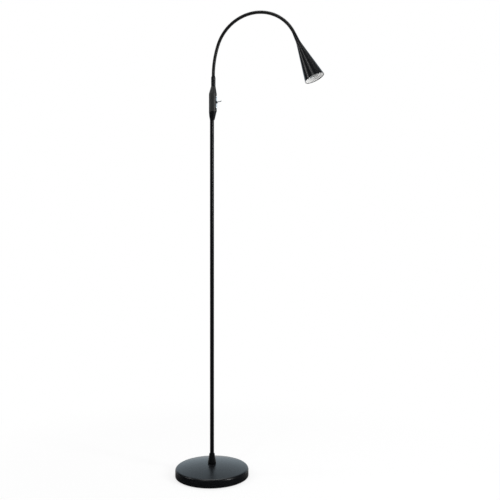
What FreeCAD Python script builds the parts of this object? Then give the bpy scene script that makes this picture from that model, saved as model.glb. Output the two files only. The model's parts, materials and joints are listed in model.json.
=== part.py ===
import FreeCAD, Part

import os
from math import cos, radians, sin, sqrt

import Sketcher
from FreeCAD import Placement, Rotation, Vector

# A gooseneck reading floor lamp, in millimetres. +Z is up, and the origin is on the floor
# under the middle of the round base. +X is the side that the neck bends towards.
# Heights are measured from the floor, unless a name says otherwise.

SIZES = {
    # Round base
    "base_diameter": 230.0,
    "pad_thickness": 2.0,
    "base_rim_height": 26.0,
    "base_crown_rise": 13.5,
    "base_rim_rounding": 8.0,
    "cover_wall": 1.2,
    "plate_thickness": 1.5,
    "plate_side_gap": 3.8,
    "pad_side_gap": 4.0,
    "pad_hole_gap": 0.5,
    # Cast weight under the cover
    "weight_side_gap": 7.8,
    "weight_edge_height": 11.0,
    "weight_step_diameter": 60.0,
    "weight_step_height": 16.5,
    "weight_boss_diameter": 36.0,
    "weight_web": 10.8,
    "well_diameter": 28.0,
    "channel_width": 7.0,
    "channel_height": 8.5,
    # Screws that hold the plate to the weight
    "base_screw_diameter": 4.0,
    "base_screw_length": 9.0,
    "base_screw_head_diameter": 7.5,
    "base_screw_head_height": 1.4,
    "base_screw_circle": 160.0,
    "base_screw_count": 4,
    # Threaded pipe fittings that stack the lamp together
    "thread_diameter": 8.0,
    "thread_bore": 5.6,
    "thread_gap": 0.05,
    "nut_across_flats": 13.0,
    "nut_height": 5.0,
    "nut_room_gap": 0.3,
    "thread_past_nut": 1.0,
    "washer_diameter": 22.0,
    "washer_thickness": 1.5,
    # Collar round the pole's foot
    "collar_height": 30.5,
    "collar_foot_diameter": 26.5,
    "collar_top_diameter": 16.8,
    "collar_floor": 3.5,
    "collar_rounding": 2.5,
    "slip_gap": 0.05,
    # Leads and gland
    "lead_diameter": 5.0,
    "lead_level": 9.0,
    "lead_bend_radius": 10.0,
    "gland_hole_diameter": 8.0,
    "gland_flange_diameter": 11.0,
    "gland_flange_thickness": 1.8,
    "gland_bore_gap": 0.1,
    "gland_grip_gap": 0.2,
    "lead_past_thread": 2.0,
    "core_diameter": 1.6,
    "core_gap": 0.3,
    "terminal_spacing": 6.4,
    # Pole
    "pole_diameter": 13.0,
    "pole_wall": 1.0,
    "pole_joint_height": 520.0,
    "pole_top_height": 1128.0,
    "insert_length": 24.0,
    "insert_gap": 0.02,
    "spigot_thread_length": 20.0,
    # Lower cap of the switch housing, a little off the pole's axis towards +X. It overlaps the
    # pole's top, and its own length carries the housing.
    "lower_cap_overlap": 8.5,
    "lower_cap_length": 25.5,
    "lower_cap_diameter": 14.8,
    "lower_cap_offset": 0.9,
    "lower_cap_waist_rise": 15.0,
    "lower_cap_waist_diameter": 21.0,
    "lower_cap_waist_offset": 1.5,
    "lower_cap_top_diameter": 24.0,
    "lower_cap_top_offset": 2.5,
    # Switch housing
    "housing_length": 56.0,
    "housing_diameter": 24.8,
    "housing_offset": 2.8,
    "housing_wall": 1.4,
    "housing_floor": 3.0,
    "flat_distance": 11.5,
    "flat_length": 38.0,
    "flat_middle": 29.5,
    "flat_wall": 2.2,
    # Upper cap
    "upper_cap_length": 23.5,
    "upper_cap_top_diameter": 14.4,
    "upper_cap_roof": 13.5,
    "cap_spigot_length": 4.0,
    # Toggle switch and its plate
    "switch_plate_thickness": 1.0,
    "switch_plate_edge_gap": 0.3,
    "plate_screw_spacing": 31.0,
    "plate_screw_diameter": 2.0,
    "plate_screw_head_diameter": 3.8,
    "plate_screw_head_height": 1.1,
    "plate_screw_length": 4.5,
    "toggle_body_length": 13.0,
    "toggle_body_width": 8.0,
    "toggle_body_depth": 9.0,
    "toggle_bush_diameter": 6.0,
    "toggle_bush_bore": 4.6,
    "toggle_bush_past_plate": 3.0,
    "toggle_nut_across_flats": 8.0,
    "toggle_nut_height": 1.8,
    "lever_ball_diameter": 4.0,
    "lever_pivot_depth": 1.2,
    "lever_root_diameter": 2.2,
    "lever_tip_diameter": 3.4,
    "lever_length": 19.0,
    "lever_rest_angle": 7.0,
    "block_width": 10.0,
    "block_length": 12.0,
    "block_depth": 8.0,
    "block_wall_gap": 0.1,
    # Ferrule at the gooseneck's foot
    "neck_offset": 4.4,
    "ferrule_diameter": 14.0,
    "ferrule_length": 27.5,
    "ferrule_taper": 5.7,
    "ferrule_tip_diameter": 10.8,
    "ferrule_floor": 3.5,
    "nipple_grip": 12.0,
    "head_nipple_grip": 6.0,
    # Gooseneck: a long gentle rise, then the bow over to the shade
    "neck_diameter": 10.2,
    "neck_bore": 6.0,
    "neck_pivot_rise": 0.8,
    "rise_radius": 291.6,
    "rise_angle": 18.9,
    "rise_links": 2,
    "bow_radius": 132.2,
    "bow_angle": 137.1,
    "bow_links": 6,
    "ball_gap": 0.3,
    "joint_swing_angle": 27.0,
    # Shade
    "shade_length": 152.0,
    "shade_neck_length": 28.0,
    "shade_neck_diameter": 10.8,
    "shade_waist_diameter": 13.1,
    "shade_mouth_diameter": 62.0,
    "shade_wall": 1.2,
    "shade_waist_rounding": 110.0,
    "shade_web_depth": 46.0,
    # Lampholder and the cup that carries it
    "cup_bore": 15.2,
    "cup_wall": 0.8,
    "cup_flange_diameter": 25.0,
    "cup_floor": 1.0,
    "holder_diameter": 26.0,
    "holder_length": 18.0,
    "holder_side_gap": 1.5,
    "holder_screw_circle": 21.0,
    "holder_screw_diameter": 2.5,
    "holder_screw_length": 6.0,
    "holder_screw_head_diameter": 4.0,
    "holder_screw_head_height": 1.4,
    "holder_lip": 4.3,
    "holder_race_depth": 2.9,
    "holder_race_gap": 0.15,
    "holder_slot_overrun_angle": 30.0,
    "holder_wire_spread": 4.0,
    # Reflector bulb
    "bulb_diameter": 50.0,
    "bulb_length": 47.0,
    "bulb_seat_gap": 0.3,
    "bulb_base_diameter": 23.0,
    "bulb_base_length": 12.0,
    "bulb_rim": 3.0,
    "bulb_bowl_radius": 44.0,
    "bulb_glass": 1.5,
    "lens_thickness": 1.5,
    "pin_spacing": 10.0,
    "pin_diameter": 3.2,
    "pin_length": 7.0,
    "pin_head_diameter": 5.0,
    "pin_head_height": 2.0,
    "pin_gap": 0.25,
    "bulb_twist_angle": 28.0,
    "capsule_diameter": 9.0,
    "capsule_length": 22.0,
}

doc = FreeCAD.newDocument("reading_lamp")
sheet = doc.addObject("Spreadsheet::Sheet", "Sizes")
for row, (alias, number) in enumerate(SIZES.items(), start=1):
    sheet.set(f"A{row}", alias)
    sheet.set(f"B{row}", str(number))
    sheet.setAlias(f"B{row}", alias)
doc.recompute()


class Size:
    """A number together with the sheet formula that gives it."""

    def __init__(self, value, formula):
        self.value = float(value)
        self.formula = formula

    def __add__(self, other):
        other = as_size(other)
        return Size(self.value + other.value, f"({self.formula} + {other.formula})")

    def __sub__(self, other):
        other = as_size(other)
        return Size(self.value - other.value, f"({self.formula} - {other.formula})")

    def __mul__(self, other):
        other = as_size(other)
        return Size(self.value * other.value, f"({self.formula} * {other.formula})")

    def __truediv__(self, other):
        other = as_size(other)
        return Size(self.value / other.value, f"({self.formula} / {other.formula})")

    def __neg__(self):
        return Size(-self.value, f"(0 - {self.formula})")

    __radd__ = __add__
    __rmul__ = __mul__


def as_size(thing):
    """Gives a plain number the form of a Size."""
    return thing if isinstance(thing, Size) else Size(thing, f"({float(thing)})")


def from_sheet(alias):
    """The size that the sheet holds under this name."""
    return Size(sheet.get(alias), f"{sheet.Name}.{alias}")


def root(size):
    """The square root of a size."""
    return Size(sqrt(size.value), f"sqrt({size.formula})")


def arc_radius(run, rise):
    """Radius of the arc that leaves level and drops by rise over run."""
    return (run * run + rise * rise) / (rise * 2)


class Bow:
    """Makes the step between two corners of an outline an arc, bulging away from its centre."""

    def __init__(self, radius, centre_side):
        self.radius = as_size(radius)
        self.centre_on_left = centre_side == "left"


def new_body(label):
    """An empty body whose Label names its file."""
    body = doc.addObject("PartDesign::Body", label)
    body.Label = label
    body.AllowCompound = True
    return body


def origin_feature(body, role):
    """One of the body's own origin planes or axes."""
    return next(item for item in body.Origin.OriginFeatures if item.Role == role)


def new_sketch(body, plane, offset=0):
    """A sketch on an origin plane of the body, moved along the plane's normal by offset."""
    sketch = body.newObject("Sketcher::SketchObject", f"{body.Name}_outline")
    sketch.AttachmentSupport = [(origin_feature(body, plane), "")]
    sketch.MapMode = "FlatFace"
    offset = as_size(offset)
    sketch.AttachmentOffset = Placement(Vector(0, 0, offset.value), Rotation())
    sketch.setExpression("AttachmentOffset.Base.z", offset.formula)
    return sketch


def bind(sketch, constraint, size):
    """Adds a constraint whose value follows the sheet."""
    index = sketch.addConstraint(constraint)
    sketch.setExpression(f"Constraints[{index}]", size.formula)


def hold_point(sketch, edge, end, x, y):
    """Holds one end of an edge at x and y from the sketch's origin."""
    for kind, axis_line, place in (("DistanceX", -2, as_size(x)), ("DistanceY", -1, as_size(y))):
        if place.value == 0:
            sketch.addConstraint(Sketcher.Constraint("PointOnObject", edge, end, axis_line))
        else:
            bind(sketch, Sketcher.Constraint(kind, -1, 1, edge, end, place.value), place)


def draw_circle(sketch, x, y, radius):
    """Draws a circle held by its centre and radius."""
    centre = Vector(as_size(x).value, as_size(y).value, 0)
    edge = sketch.addGeometry(Part.Circle(centre, Vector(0, 0, 1), radius.value))
    bind(sketch, Sketcher.Constraint("Radius", edge, radius.value), radius)
    hold_point(sketch, edge, 3, x, y)


def bow_arc(start, end, bow):
    """The arc between two points, and which of its ends is the start."""
    middle = (start + end) / 2
    along = end - start
    half = along.Length / 2
    reach = sqrt(max(bow.radius.value ** 2 - half ** 2, 0))
    left = Vector(-along.y, along.x, 0).normalize()
    centre = middle + left * (reach if bow.centre_on_left else -reach)
    first, last = (start, end) if bow.centre_on_left else (end, start)
    circle = Part.Circle(centre, Vector(0, 0, 1), bow.radius.value)
    arc = Part.ArcOfCircle(circle, circle.parameter(first), circle.parameter(last))
    return arc, (1, 2) if bow.centre_on_left else (2, 1)


def draw_outline(sketch, steps):
    """Draws a closed outline: corners as (x, y), with a Bow between two that an arc joins."""
    corners = [step for step in steps if not isinstance(step, Bow)]
    bow_after = {}
    last_corner = -1
    for step in steps:
        if isinstance(step, Bow):
            bow_after[last_corner] = step
        else:
            last_corner += 1
    points = [Vector(as_size(x).value, as_size(y).value, 0) for x, y in corners]
    edges = []
    for number, start in enumerate(points):
        end = points[(number + 1) % len(points)]
        if number in bow_after:
            arc, ends = bow_arc(start, end, bow_after[number])
            edge = sketch.addGeometry(arc)
            radius = bow_after[number].radius
            bind(sketch, Sketcher.Constraint("Radius", edge, radius.value), radius)
        else:
            edge = sketch.addGeometry(Part.LineSegment(start, end))
            ends = (1, 2)
        edges.append((edge, ends))
    for number, (edge, ends) in enumerate(edges):
        next_edge, next_ends = edges[(number + 1) % len(edges)]
        sketch.addConstraint(Sketcher.Constraint("Coincident", edge, ends[1], next_edge, next_ends[0]))
        hold_point(sketch, edge, ends[0], *corners[number])


def box_outline(x_low, x_high, y_low, y_high):
    """The four corners of a rectangle."""
    return [(x_low, y_low), (x_high, y_low), (x_high, y_high), (x_low, y_high)]


def hexagon(across_flats, x=0):
    """The six corners of a nut."""
    tip = across_flats / sqrt(3)
    half = across_flats / 2
    x = as_size(x)
    return [(x + tip, 0), (x + tip / 2, half), (x - tip / 2, half),
            (x - tip, 0), (x - tip / 2, -half), (x + tip / 2, -half)]


def spin(body, kind, steps):
    """Turns an outline of (radius, height) corners about the body's own Z axis."""
    sketch = new_sketch(body, "XZ_Plane")
    draw_outline(sketch, steps)
    feature = body.newObject(f"PartDesign::{kind}", f"{body.Name}_{kind.lower()}")
    feature.Profile = sketch
    feature.ReferenceAxis = (sketch, ["V_Axis"])
    feature.Angle = 360.0
    return feature


def turned(label, steps):
    """A turned piece, from its outline of (radius, height) corners."""
    body = new_body(label)
    spin(body, "Revolution", steps)
    return body


def extrude(body, sketch, kind, length, backwards=False):
    """Pads or pockets a sketch by a length."""
    feature = body.newObject(f"PartDesign::{kind}", f"{body.Name}_{kind.lower()}")
    feature.Profile = sketch
    feature.Length = as_size(length).value
    feature.setExpression("Length", as_size(length).formula)
    feature.Reversed = backwards
    return feature


def pad(body, draw, low, length, plane="XY_Plane"):
    """Raises what draw puts on the plane, from low, along the plane's normal."""
    sketch = new_sketch(body, plane, low)
    draw(sketch)
    return extrude(body, sketch, "Pad", length)


def cut(body, draw, low, length, plane="XY_Plane"):
    """Removes what draw puts on the plane, from low, along the plane's normal."""
    sketch = new_sketch(body, plane, low)
    draw(sketch)
    return extrude(body, sketch, "Pocket", length, backwards=True)


def ring_of(body, features, count):
    """Repeats features evenly round the body's Z axis."""
    pattern = body.newObject("PartDesign::PolarPattern", f"{body.Name}_ring")
    pattern.Originals = features
    pattern.Axis = (origin_feature(body, "Z_Axis"), [""])
    pattern.Angle = 360.0
    pattern.Occurrences = int(count.value)
    pattern.setExpression("Occurrences", count.formula)
    body.Tip = pattern


def round_edges(body, feature, radius, is_wanted):
    """Rounds the edges of a feature that the test picks."""
    doc.recompute()
    names = [f"Edge{number}" for number, edge in enumerate(feature.Shape.Edges, start=1)
             if is_wanted(edge)]
    fillet = body.newObject("PartDesign::Fillet", f"{body.Name}_fillet")
    fillet.Base = (feature, names)
    fillet.Radius = radius.value
    fillet.setExpression("Radius", radius.formula)
    return fillet


def circle_at(radius, height):
    """A test for the circular edge of this radius at this height."""
    def is_wanted(edge):
        if edge.Degenerated:
            return False
        curve = edge.Curve
        return (isinstance(curve, Part.Circle) and abs(curve.Radius - radius.value) < 1e-4
                and abs(curve.Center.z - height.value) < 1e-4)
    return is_wanted


def set_place(item, point, heading=0.0):
    """Moves a piece to a point and leans its Z axis from up towards +X, in degrees."""
    item.Placement = Placement(point, Rotation(Vector(0, 1, 0), heading))


def new_solid(label, shape):
    """A piece that is given its finished shape."""
    item = doc.addObject("Part::Feature", label)
    item.Label = label
    item.Shape = shape
    return item


def bent_path(points, radius):
    """Straight runs through the points, joined by tangent arcs of one radius."""
    edges = []
    start = points[0]
    for corner, after in zip(points[1:], points[2:]):
        before = (start - corner).normalize()
        beyond = (after - corner).normalize()
        half_angle = before.getAngle(beyond) / 2
        step = radius * cos(half_angle) / sin(half_angle)
        to_middle = (before + beyond).normalize()
        centre = corner + to_middle * (radius / sin(half_angle))
        entry = corner + before * step
        leave = corner + beyond * step
        middle = centre - to_middle * radius
        if (entry - start).Length > 1e-6:
            edges.append(Part.LineSegment(start, entry).toShape())
        edges.append(Part.Arc(entry, middle, leave).toShape())
        start = leave
    edges.append(Part.LineSegment(start, points[-1]).toShape())
    return Part.Wire(edges)


def tube_along(points, diameter, radius):
    """A round solid of this diameter along a bent path."""
    path = bent_path(points, radius)
    section = Part.Wire([Part.Circle(points[0], points[1] - points[0], diameter / 2).toShape()])
    return path.makePipeShell([section], True, False)


# Heights and radii that several pieces share

S = {alias: from_sheet(alias) for alias in SIZES}

base_radius = S["base_diameter"] / 2
crown = S["base_rim_height"] + S["base_crown_rise"]
plate_top = S["pad_thickness"] + S["plate_thickness"]
thread_radius = S["thread_diameter"] / 2
thread_hole = thread_radius + S["thread_gap"]
bore_radius = S["thread_bore"] / 2
pole_radius = S["pole_diameter"] / 2
pole_hole = pole_radius - S["pole_wall"]
insert_radius = pole_hole - S["insert_gap"]
slip_radius = pole_radius + S["slip_gap"]
pole_foot = crown + S["collar_floor"]
lead_radius = S["lead_diameter"] / 2
boss_radius = S["weight_boss_diameter"] / 2
inner_crown_radius = arc_radius(base_radius - S["cover_wall"], S["base_crown_rise"])
boss_drop = inner_crown_radius - root(inner_crown_radius * inner_crown_radius - boss_radius * boss_radius)
boss_top = crown - S["cover_wall"] - boss_drop
well_top = boss_top - S["weight_web"]
base_nut_low = well_top - S["washer_thickness"] - S["nut_height"]
lower_cap_low = S["pole_top_height"] - S["lower_cap_overlap"]
housing_low = lower_cap_low + S["lower_cap_length"]
housing_inside = housing_low + S["housing_floor"]
housing_top = housing_low + S["housing_length"]
housing_radius = S["housing_diameter"] / 2
cavity_radius = housing_radius - S["housing_wall"]
cavity_flat = S["flat_distance"] - S["flat_wall"]
flat_x = S["housing_offset"] + S["flat_distance"]
switch_height = housing_low + S["flat_middle"]
plate_face = flat_x + S["switch_plate_thickness"]
wall_inside_x = S["housing_offset"] + cavity_flat
cap_top = housing_top + S["upper_cap_length"]
roof_low = cap_top - S["upper_cap_roof"]
neck_nut_low = roof_low - S["nut_height"]
ferrule_top = cap_top + S["ferrule_length"] + S["ferrule_taper"]
neck_foot = cap_top + S["ferrule_floor"]
neck_radius = S["neck_diameter"] / 2
washer_low = well_top - S["washer_thickness"]


def make_base():
    """The weighted base with its cover, bottom plate, floor pad and screws."""
    rim = S["base_rim_height"]
    wall = S["cover_wall"]
    foot = S["pad_thickness"]
    rise = S["base_crown_rise"]
    inner_radius = base_radius - wall

    cover = new_body("base_cover")
    shell = spin(cover, "Revolution", [
        (0, crown), Bow(arc_radius(base_radius, rise), "right"),
        (base_radius, rim), (base_radius, foot), (inner_radius, foot),
        (inner_radius, rim - wall), Bow(inner_crown_radius, "left"), (0, crown - wall)])
    outside = round_edges(cover, shell, S["base_rim_rounding"], circle_at(base_radius, rim))
    round_edges(cover, outside, S["base_rim_rounding"] - wall, circle_at(inner_radius, rim - wall))
    cut(cover, lambda sketch: draw_circle(sketch, 0, 0, thread_hole), foot, crown)
    sketch = new_sketch(cover, "XZ_Plane")
    draw_circle(sketch, 0, S["lead_level"], S["gland_hole_diameter"] / 2)
    extrude(cover, sketch, "Pocket", base_radius + wall)

    weight_radius = inner_radius - S["weight_side_gap"]
    weight = turned("base_weight", [
        (S["well_diameter"] / 2, plate_top), (weight_radius, plate_top),
        (weight_radius, plate_top + S["weight_edge_height"]),
        (S["weight_step_diameter"] / 2, plate_top + S["weight_step_height"]),
        (boss_radius, boss_top), (thread_hole, boss_top), (thread_hole, well_top),
        (S["well_diameter"] / 2, well_top)])
    half_channel = S["channel_width"] / 2
    channel = box_outline(-half_channel, half_channel, 0, base_radius)
    cut(weight, lambda sketch: draw_outline(sketch, channel), plate_top, S["channel_height"])
    screw_hole = S["base_screw_diameter"] / 2 + S["thread_gap"]
    diagonal = S["base_screw_circle"] / sqrt(8)

    def draw_screw_hole(sketch):
        draw_circle(sketch, diagonal, diagonal, screw_hole)
    hole = cut(weight, draw_screw_hole, plate_top, S["base_screw_length"])
    ring_of(weight, [hole], S["base_screw_count"])

    plate = new_body("base_plate")
    plate_radius = inner_radius - S["plate_side_gap"]
    pad(plate, lambda sketch: draw_circle(sketch, 0, 0, plate_radius), foot, S["plate_thickness"])
    hole = cut(plate, draw_screw_hole, foot, S["plate_thickness"])
    ring_of(plate, [hole], S["base_screw_count"])

    head_radius = S["base_screw_head_diameter"] / 2
    sole = new_body("floor_pad")
    pad(sole, lambda sketch: draw_circle(sketch, 0, 0, plate_radius - S["pad_side_gap"]), 0, foot)
    hole = cut(sole, lambda sketch: draw_circle(
        sketch, diagonal, diagonal, head_radius + S["pad_hole_gap"]), 0, foot)
    ring_of(sole, [hole], S["base_screw_count"])

    screws = new_body("base_screws")
    head = pad(screws, lambda sketch: draw_circle(sketch, diagonal, diagonal, head_radius),
               foot - S["base_screw_head_height"], S["base_screw_head_height"])
    shank = pad(screws, lambda sketch: draw_circle(
        sketch, diagonal, diagonal, S["base_screw_diameter"] / 2), foot, S["base_screw_length"])
    ring_of(screws, [head, shank], S["base_screw_count"])


def make_stem_fittings():
    """The stud, washer, collar and gland between the base and the pole."""
    stud_low = base_nut_low - S["thread_past_nut"]
    stud_top = pole_foot + S["insert_length"]
    turned("stem_stud", [
        (bore_radius, stud_low), (thread_radius, stud_low),
        (thread_radius, stud_top), (bore_radius, stud_top)])
    turned("stem_washer", [
        (thread_hole, washer_low), (S["washer_diameter"] / 2, washer_low),
        (S["washer_diameter"] / 2, well_top), (thread_hole, well_top)])
    collar_top = crown + S["collar_height"]
    collar_foot = S["collar_foot_diameter"] / 2
    rounding = S["collar_rounding"]
    turned("base_collar", [
        (thread_hole, crown), (collar_foot - rounding, crown), Bow(rounding, "left"),
        (collar_foot, crown + rounding), (S["collar_top_diameter"] / 2, collar_top),
        (slip_radius, collar_top), (slip_radius, pole_foot), (thread_hole, pole_foot)])

    # The gland is turned about its own axis, then laid along +Y through the cover's wall.
    flange = S["gland_flange_thickness"]
    inner_face = -(S["cover_wall"] + S["gland_grip_gap"])
    gland_bore = lead_radius + S["gland_bore_gap"]
    flange_radius = S["gland_flange_diameter"] / 2
    neck = S["gland_hole_diameter"] / 2 - S["gland_bore_gap"]
    gland = turned("cable_gland", [
        (gland_bore, inner_face - flange), (flange_radius, inner_face - flange), (flange_radius, inner_face),
        (neck, inner_face), (neck, 0), (flange_radius, 0), (flange_radius - flange / 2, flange),
        (gland_bore, flange)])
    gland.Placement = Placement(Vector(0, base_radius.value, S["lead_level"].value),
                                Rotation(Vector(1, 0, 0), -90))


def make_pole():
    """The two pole tubes with the threaded plugs that join them."""
    joint = S["pole_joint_height"]
    top = S["pole_top_height"]
    length = S["insert_length"]
    for label, low, high in (("pole_lower", pole_foot, joint), ("pole_upper", joint, top)):
        turned(label, [(pole_hole, low), (pole_radius, low), (pole_radius, high), (pole_hole, high)])

    inserts = new_body("pole_inserts")
    for low in (pole_foot, joint - length):
        def draw(sketch):
            draw_circle(sketch, 0, 0, insert_radius)
            draw_circle(sketch, 0, 0, thread_hole)
        pad(inserts, draw, low, length)

    spigot_low = joint - S["spigot_thread_length"]
    turned("pole_spigot", [
        (bore_radius, spigot_low), (thread_radius, spigot_low), (thread_radius, joint),
        (insert_radius, joint), (insert_radius, joint + length), (bore_radius, joint + length)])
    head_top = housing_inside + S["nut_height"] + S["thread_past_nut"]
    turned("pole_head", [
        (bore_radius, top - length), (insert_radius, top - length), (insert_radius, top),
        (thread_radius, top), (thread_radius, head_top), (bore_radius, head_top)])

    nuts = new_body("pipe_nuts")
    for low, x in ((base_nut_low, 0), (housing_inside, 0), (neck_nut_low, S["neck_offset"])):
        def draw(sketch):
            draw_outline(sketch, hexagon(S["nut_across_flats"], x))
            draw_circle(sketch, x, 0, thread_hole)
        pad(nuts, draw, low, S["nut_height"])


def lofted(body, kind, sections):
    """Blends circles of (height, x, radius) into one form."""
    sketches = []
    for height, x, radius in sections:
        sketch = new_sketch(body, "XY_Plane", height)
        draw_circle(sketch, x, 0, radius)
        sketches.append(sketch)
    loft = body.newObject(f"PartDesign::{kind}", f"{body.Name}_{kind.lower()}")
    loft.Profile = sketches[0]
    loft.Sections = sketches[1:]
    return loft


def make_switch_housing():
    """The housing at the pole's head and its two caps."""
    low = lower_cap_low
    waist = low + S["lower_cap_waist_rise"]
    lower = new_body("lower_cap")
    lofted(lower, "AdditiveLoft", [
        (low, S["lower_cap_offset"], S["lower_cap_diameter"] / 2),
        (waist, S["lower_cap_waist_offset"], S["lower_cap_waist_diameter"] / 2),
        (housing_low, S["lower_cap_top_offset"], S["lower_cap_top_diameter"] / 2)])
    cut(lower, lambda sketch: draw_circle(sketch, 0, 0, slip_radius), low, S["lower_cap_overlap"])
    cut(lower, lambda sketch: draw_circle(sketch, 0, 0, thread_hole), low, S["lower_cap_length"])

    housing = new_body("switch_housing")
    middle = S["housing_offset"]
    pad(housing, lambda sketch: draw_circle(sketch, middle, 0, housing_radius),
        housing_low, S["housing_length"])
    chord = root(cavity_radius * cavity_radius - cavity_flat * cavity_flat)
    cavity = [(wall_inside_x, chord), Bow(cavity_radius, "left"), (middle - cavity_radius, 0),
              Bow(cavity_radius, "left"), (wall_inside_x, -chord)]
    cut(housing, lambda sketch: draw_outline(sketch, cavity), housing_inside, S["housing_length"])
    cut(housing, lambda sketch: draw_circle(sketch, 0, 0, thread_hole), housing_low, S["housing_floor"])
    half_flat = S["flat_length"] / 2
    cut(housing, lambda sketch: draw_outline(sketch, box_outline(
        -housing_radius, housing_radius, switch_height - half_flat, switch_height + half_flat)),
        flat_x, housing_radius, "YZ_Plane")
    cut(housing, draw_switch_holes, wall_inside_x, S["flat_wall"], "YZ_Plane")

    upper = new_body("upper_cap")
    lofted(upper, "AdditiveLoft", [
        (housing_top, middle, housing_radius),
        (cap_top, S["neck_offset"], S["upper_cap_top_diameter"] / 2)])
    spigot = S["cap_spigot_length"]
    spigot_low = housing_top - spigot
    nut_room = S["nut_across_flats"] / sqrt(3) + S["nut_room_gap"]
    neck_x = S["neck_offset"]
    pad(upper, lambda sketch: draw_circle(sketch, middle, 0, cavity_flat - S["slip_gap"]), spigot_low, spigot)
    cut(upper, lambda sketch: draw_circle(sketch, neck_x, 0, nut_room), spigot_low, roof_low - spigot_low)
    cut(upper, lambda sketch: draw_circle(sketch, neck_x, 0, thread_hole), roof_low, S["upper_cap_roof"])


def draw_switch_holes(sketch):
    """The holes for the toggle's bush and the two plate screws, on a YZ plane."""
    draw_circle(sketch, 0, switch_height, S["toggle_bush_diameter"] / 2 + S["slip_gap"])
    half = S["plate_screw_spacing"] / 2
    for height in (switch_height - half, switch_height + half):
        draw_circle(sketch, 0, height, S["plate_screw_diameter"] / 2 + S["thread_gap"])


def make_switch():
    """The toggle switch, its plate and screws, and the terminal block."""
    edge = S["switch_plate_edge_gap"]
    half_length = S["flat_length"] / 2 - edge
    half_width = root(housing_radius * housing_radius - S["flat_distance"] * S["flat_distance"])
    plate = new_body("switch_plate")
    pad(plate, lambda sketch: draw_outline(sketch, box_outline(
        -half_width, half_width, switch_height - half_length, switch_height + half_length)),
        flat_x, S["switch_plate_thickness"], "YZ_Plane")
    cut(plate, draw_switch_holes, flat_x, S["switch_plate_thickness"], "YZ_Plane")

    screws = new_body("plate_screws")
    half = S["plate_screw_spacing"] / 2
    for height in (switch_height - half, switch_height + half):
        pad(screws, lambda sketch: draw_circle(sketch, 0, height, S["plate_screw_head_diameter"] / 2),
            plate_face, S["plate_screw_head_height"], "YZ_Plane")
        pad(screws, lambda sketch: draw_circle(sketch, 0, height, S["plate_screw_diameter"] / 2),
            plate_face - S["plate_screw_length"], S["plate_screw_length"], "YZ_Plane")

    half_body = S["toggle_body_length"] / 2
    half_wide = S["toggle_body_width"] / 2
    body = new_body("toggle_body")
    pad(body, lambda sketch: draw_outline(sketch, box_outline(
        -half_wide, half_wide, switch_height - half_body, switch_height + half_body)),
        wall_inside_x - S["toggle_body_depth"], S["toggle_body_depth"], "YZ_Plane")

    tip = plate_face + S["toggle_bush_past_plate"]

    def draw_bush(sketch):
        draw_circle(sketch, 0, switch_height, S["toggle_bush_diameter"] / 2)
        draw_circle(sketch, 0, switch_height, S["toggle_bush_bore"] / 2)
    bush = new_body("toggle_bush")
    pad(bush, draw_bush, wall_inside_x, tip - wall_inside_x, "YZ_Plane")

    nut = new_body("toggle_nut")

    def draw_nut(sketch):
        corners = [(x, y + switch_height) for x, y in hexagon(S["toggle_nut_across_flats"])]
        draw_outline(sketch, corners)
        draw_circle(sketch, 0, switch_height, S["toggle_bush_diameter"] / 2 + S["thread_gap"])
    pad(nut, draw_nut, plate_face, S["toggle_nut_height"], "YZ_Plane")

    # The lever is turned about its own axis from the ball that it rocks on.
    ball = S["lever_ball_diameter"] / 2
    root_radius = S["lever_root_diameter"] / 2
    tip_radius = S["lever_tip_diameter"] / 2
    neck_up = root(ball * ball - root_radius * root_radius)
    lever = turned("toggle_lever", [
        (0, -ball), Bow(ball, "left"), (ball, 0), Bow(ball, "left"), (root_radius, neck_up),
        (tip_radius, S["lever_length"] - tip_radius), Bow(tip_radius, "left"), (0, S["lever_length"])])
    pivot_x = plate_face - S["lever_pivot_depth"]
    set_place(lever, Vector(pivot_x.value, 0, switch_height.value), 90 - S["lever_rest_angle"].value)

    block = new_body("terminal_block")
    half_block = S["block_width"] / 2
    back = S["housing_offset"] - root(cavity_radius * cavity_radius - half_block * half_block)
    block_low = block_bottom()
    block_x = back + S["block_wall_gap"]
    pad(block, lambda sketch: draw_outline(sketch, box_outline(
        block_x, block_x + S["block_depth"], -half_block, half_block)), block_low, S["block_length"])


def block_bottom():
    """Height of the terminal block's lower face: just under the upper cap's spigot."""
    return housing_top - S["cap_spigot_length"] - S["slip_gap"] - S["block_length"]


def make_ferrule():
    """The ferrule and the nipple that clamp the gooseneck's foot to the housing."""
    grip_top = cap_top + S["ferrule_length"]
    place = Vector(S["neck_offset"].value, 0, 0)
    sleeve = neck_radius + S["slip_gap"]
    ferrule = turned("neck_ferrule", [
        (thread_hole, cap_top), (S["ferrule_diameter"] / 2, cap_top), (S["ferrule_diameter"] / 2, grip_top),
        (S["ferrule_tip_diameter"] / 2, ferrule_top), (sleeve, ferrule_top), (sleeve, neck_foot),
        (thread_hole, neck_foot)])
    set_place(ferrule, place)
    low = neck_nut_low - S["thread_past_nut"]
    high = neck_foot + S["nipple_grip"]
    nipple = turned("neck_nipple", [
        (bore_radius, low), (thread_radius, low), (thread_radius, high), (bore_radius, high)])
    set_place(nipple, place)


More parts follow.
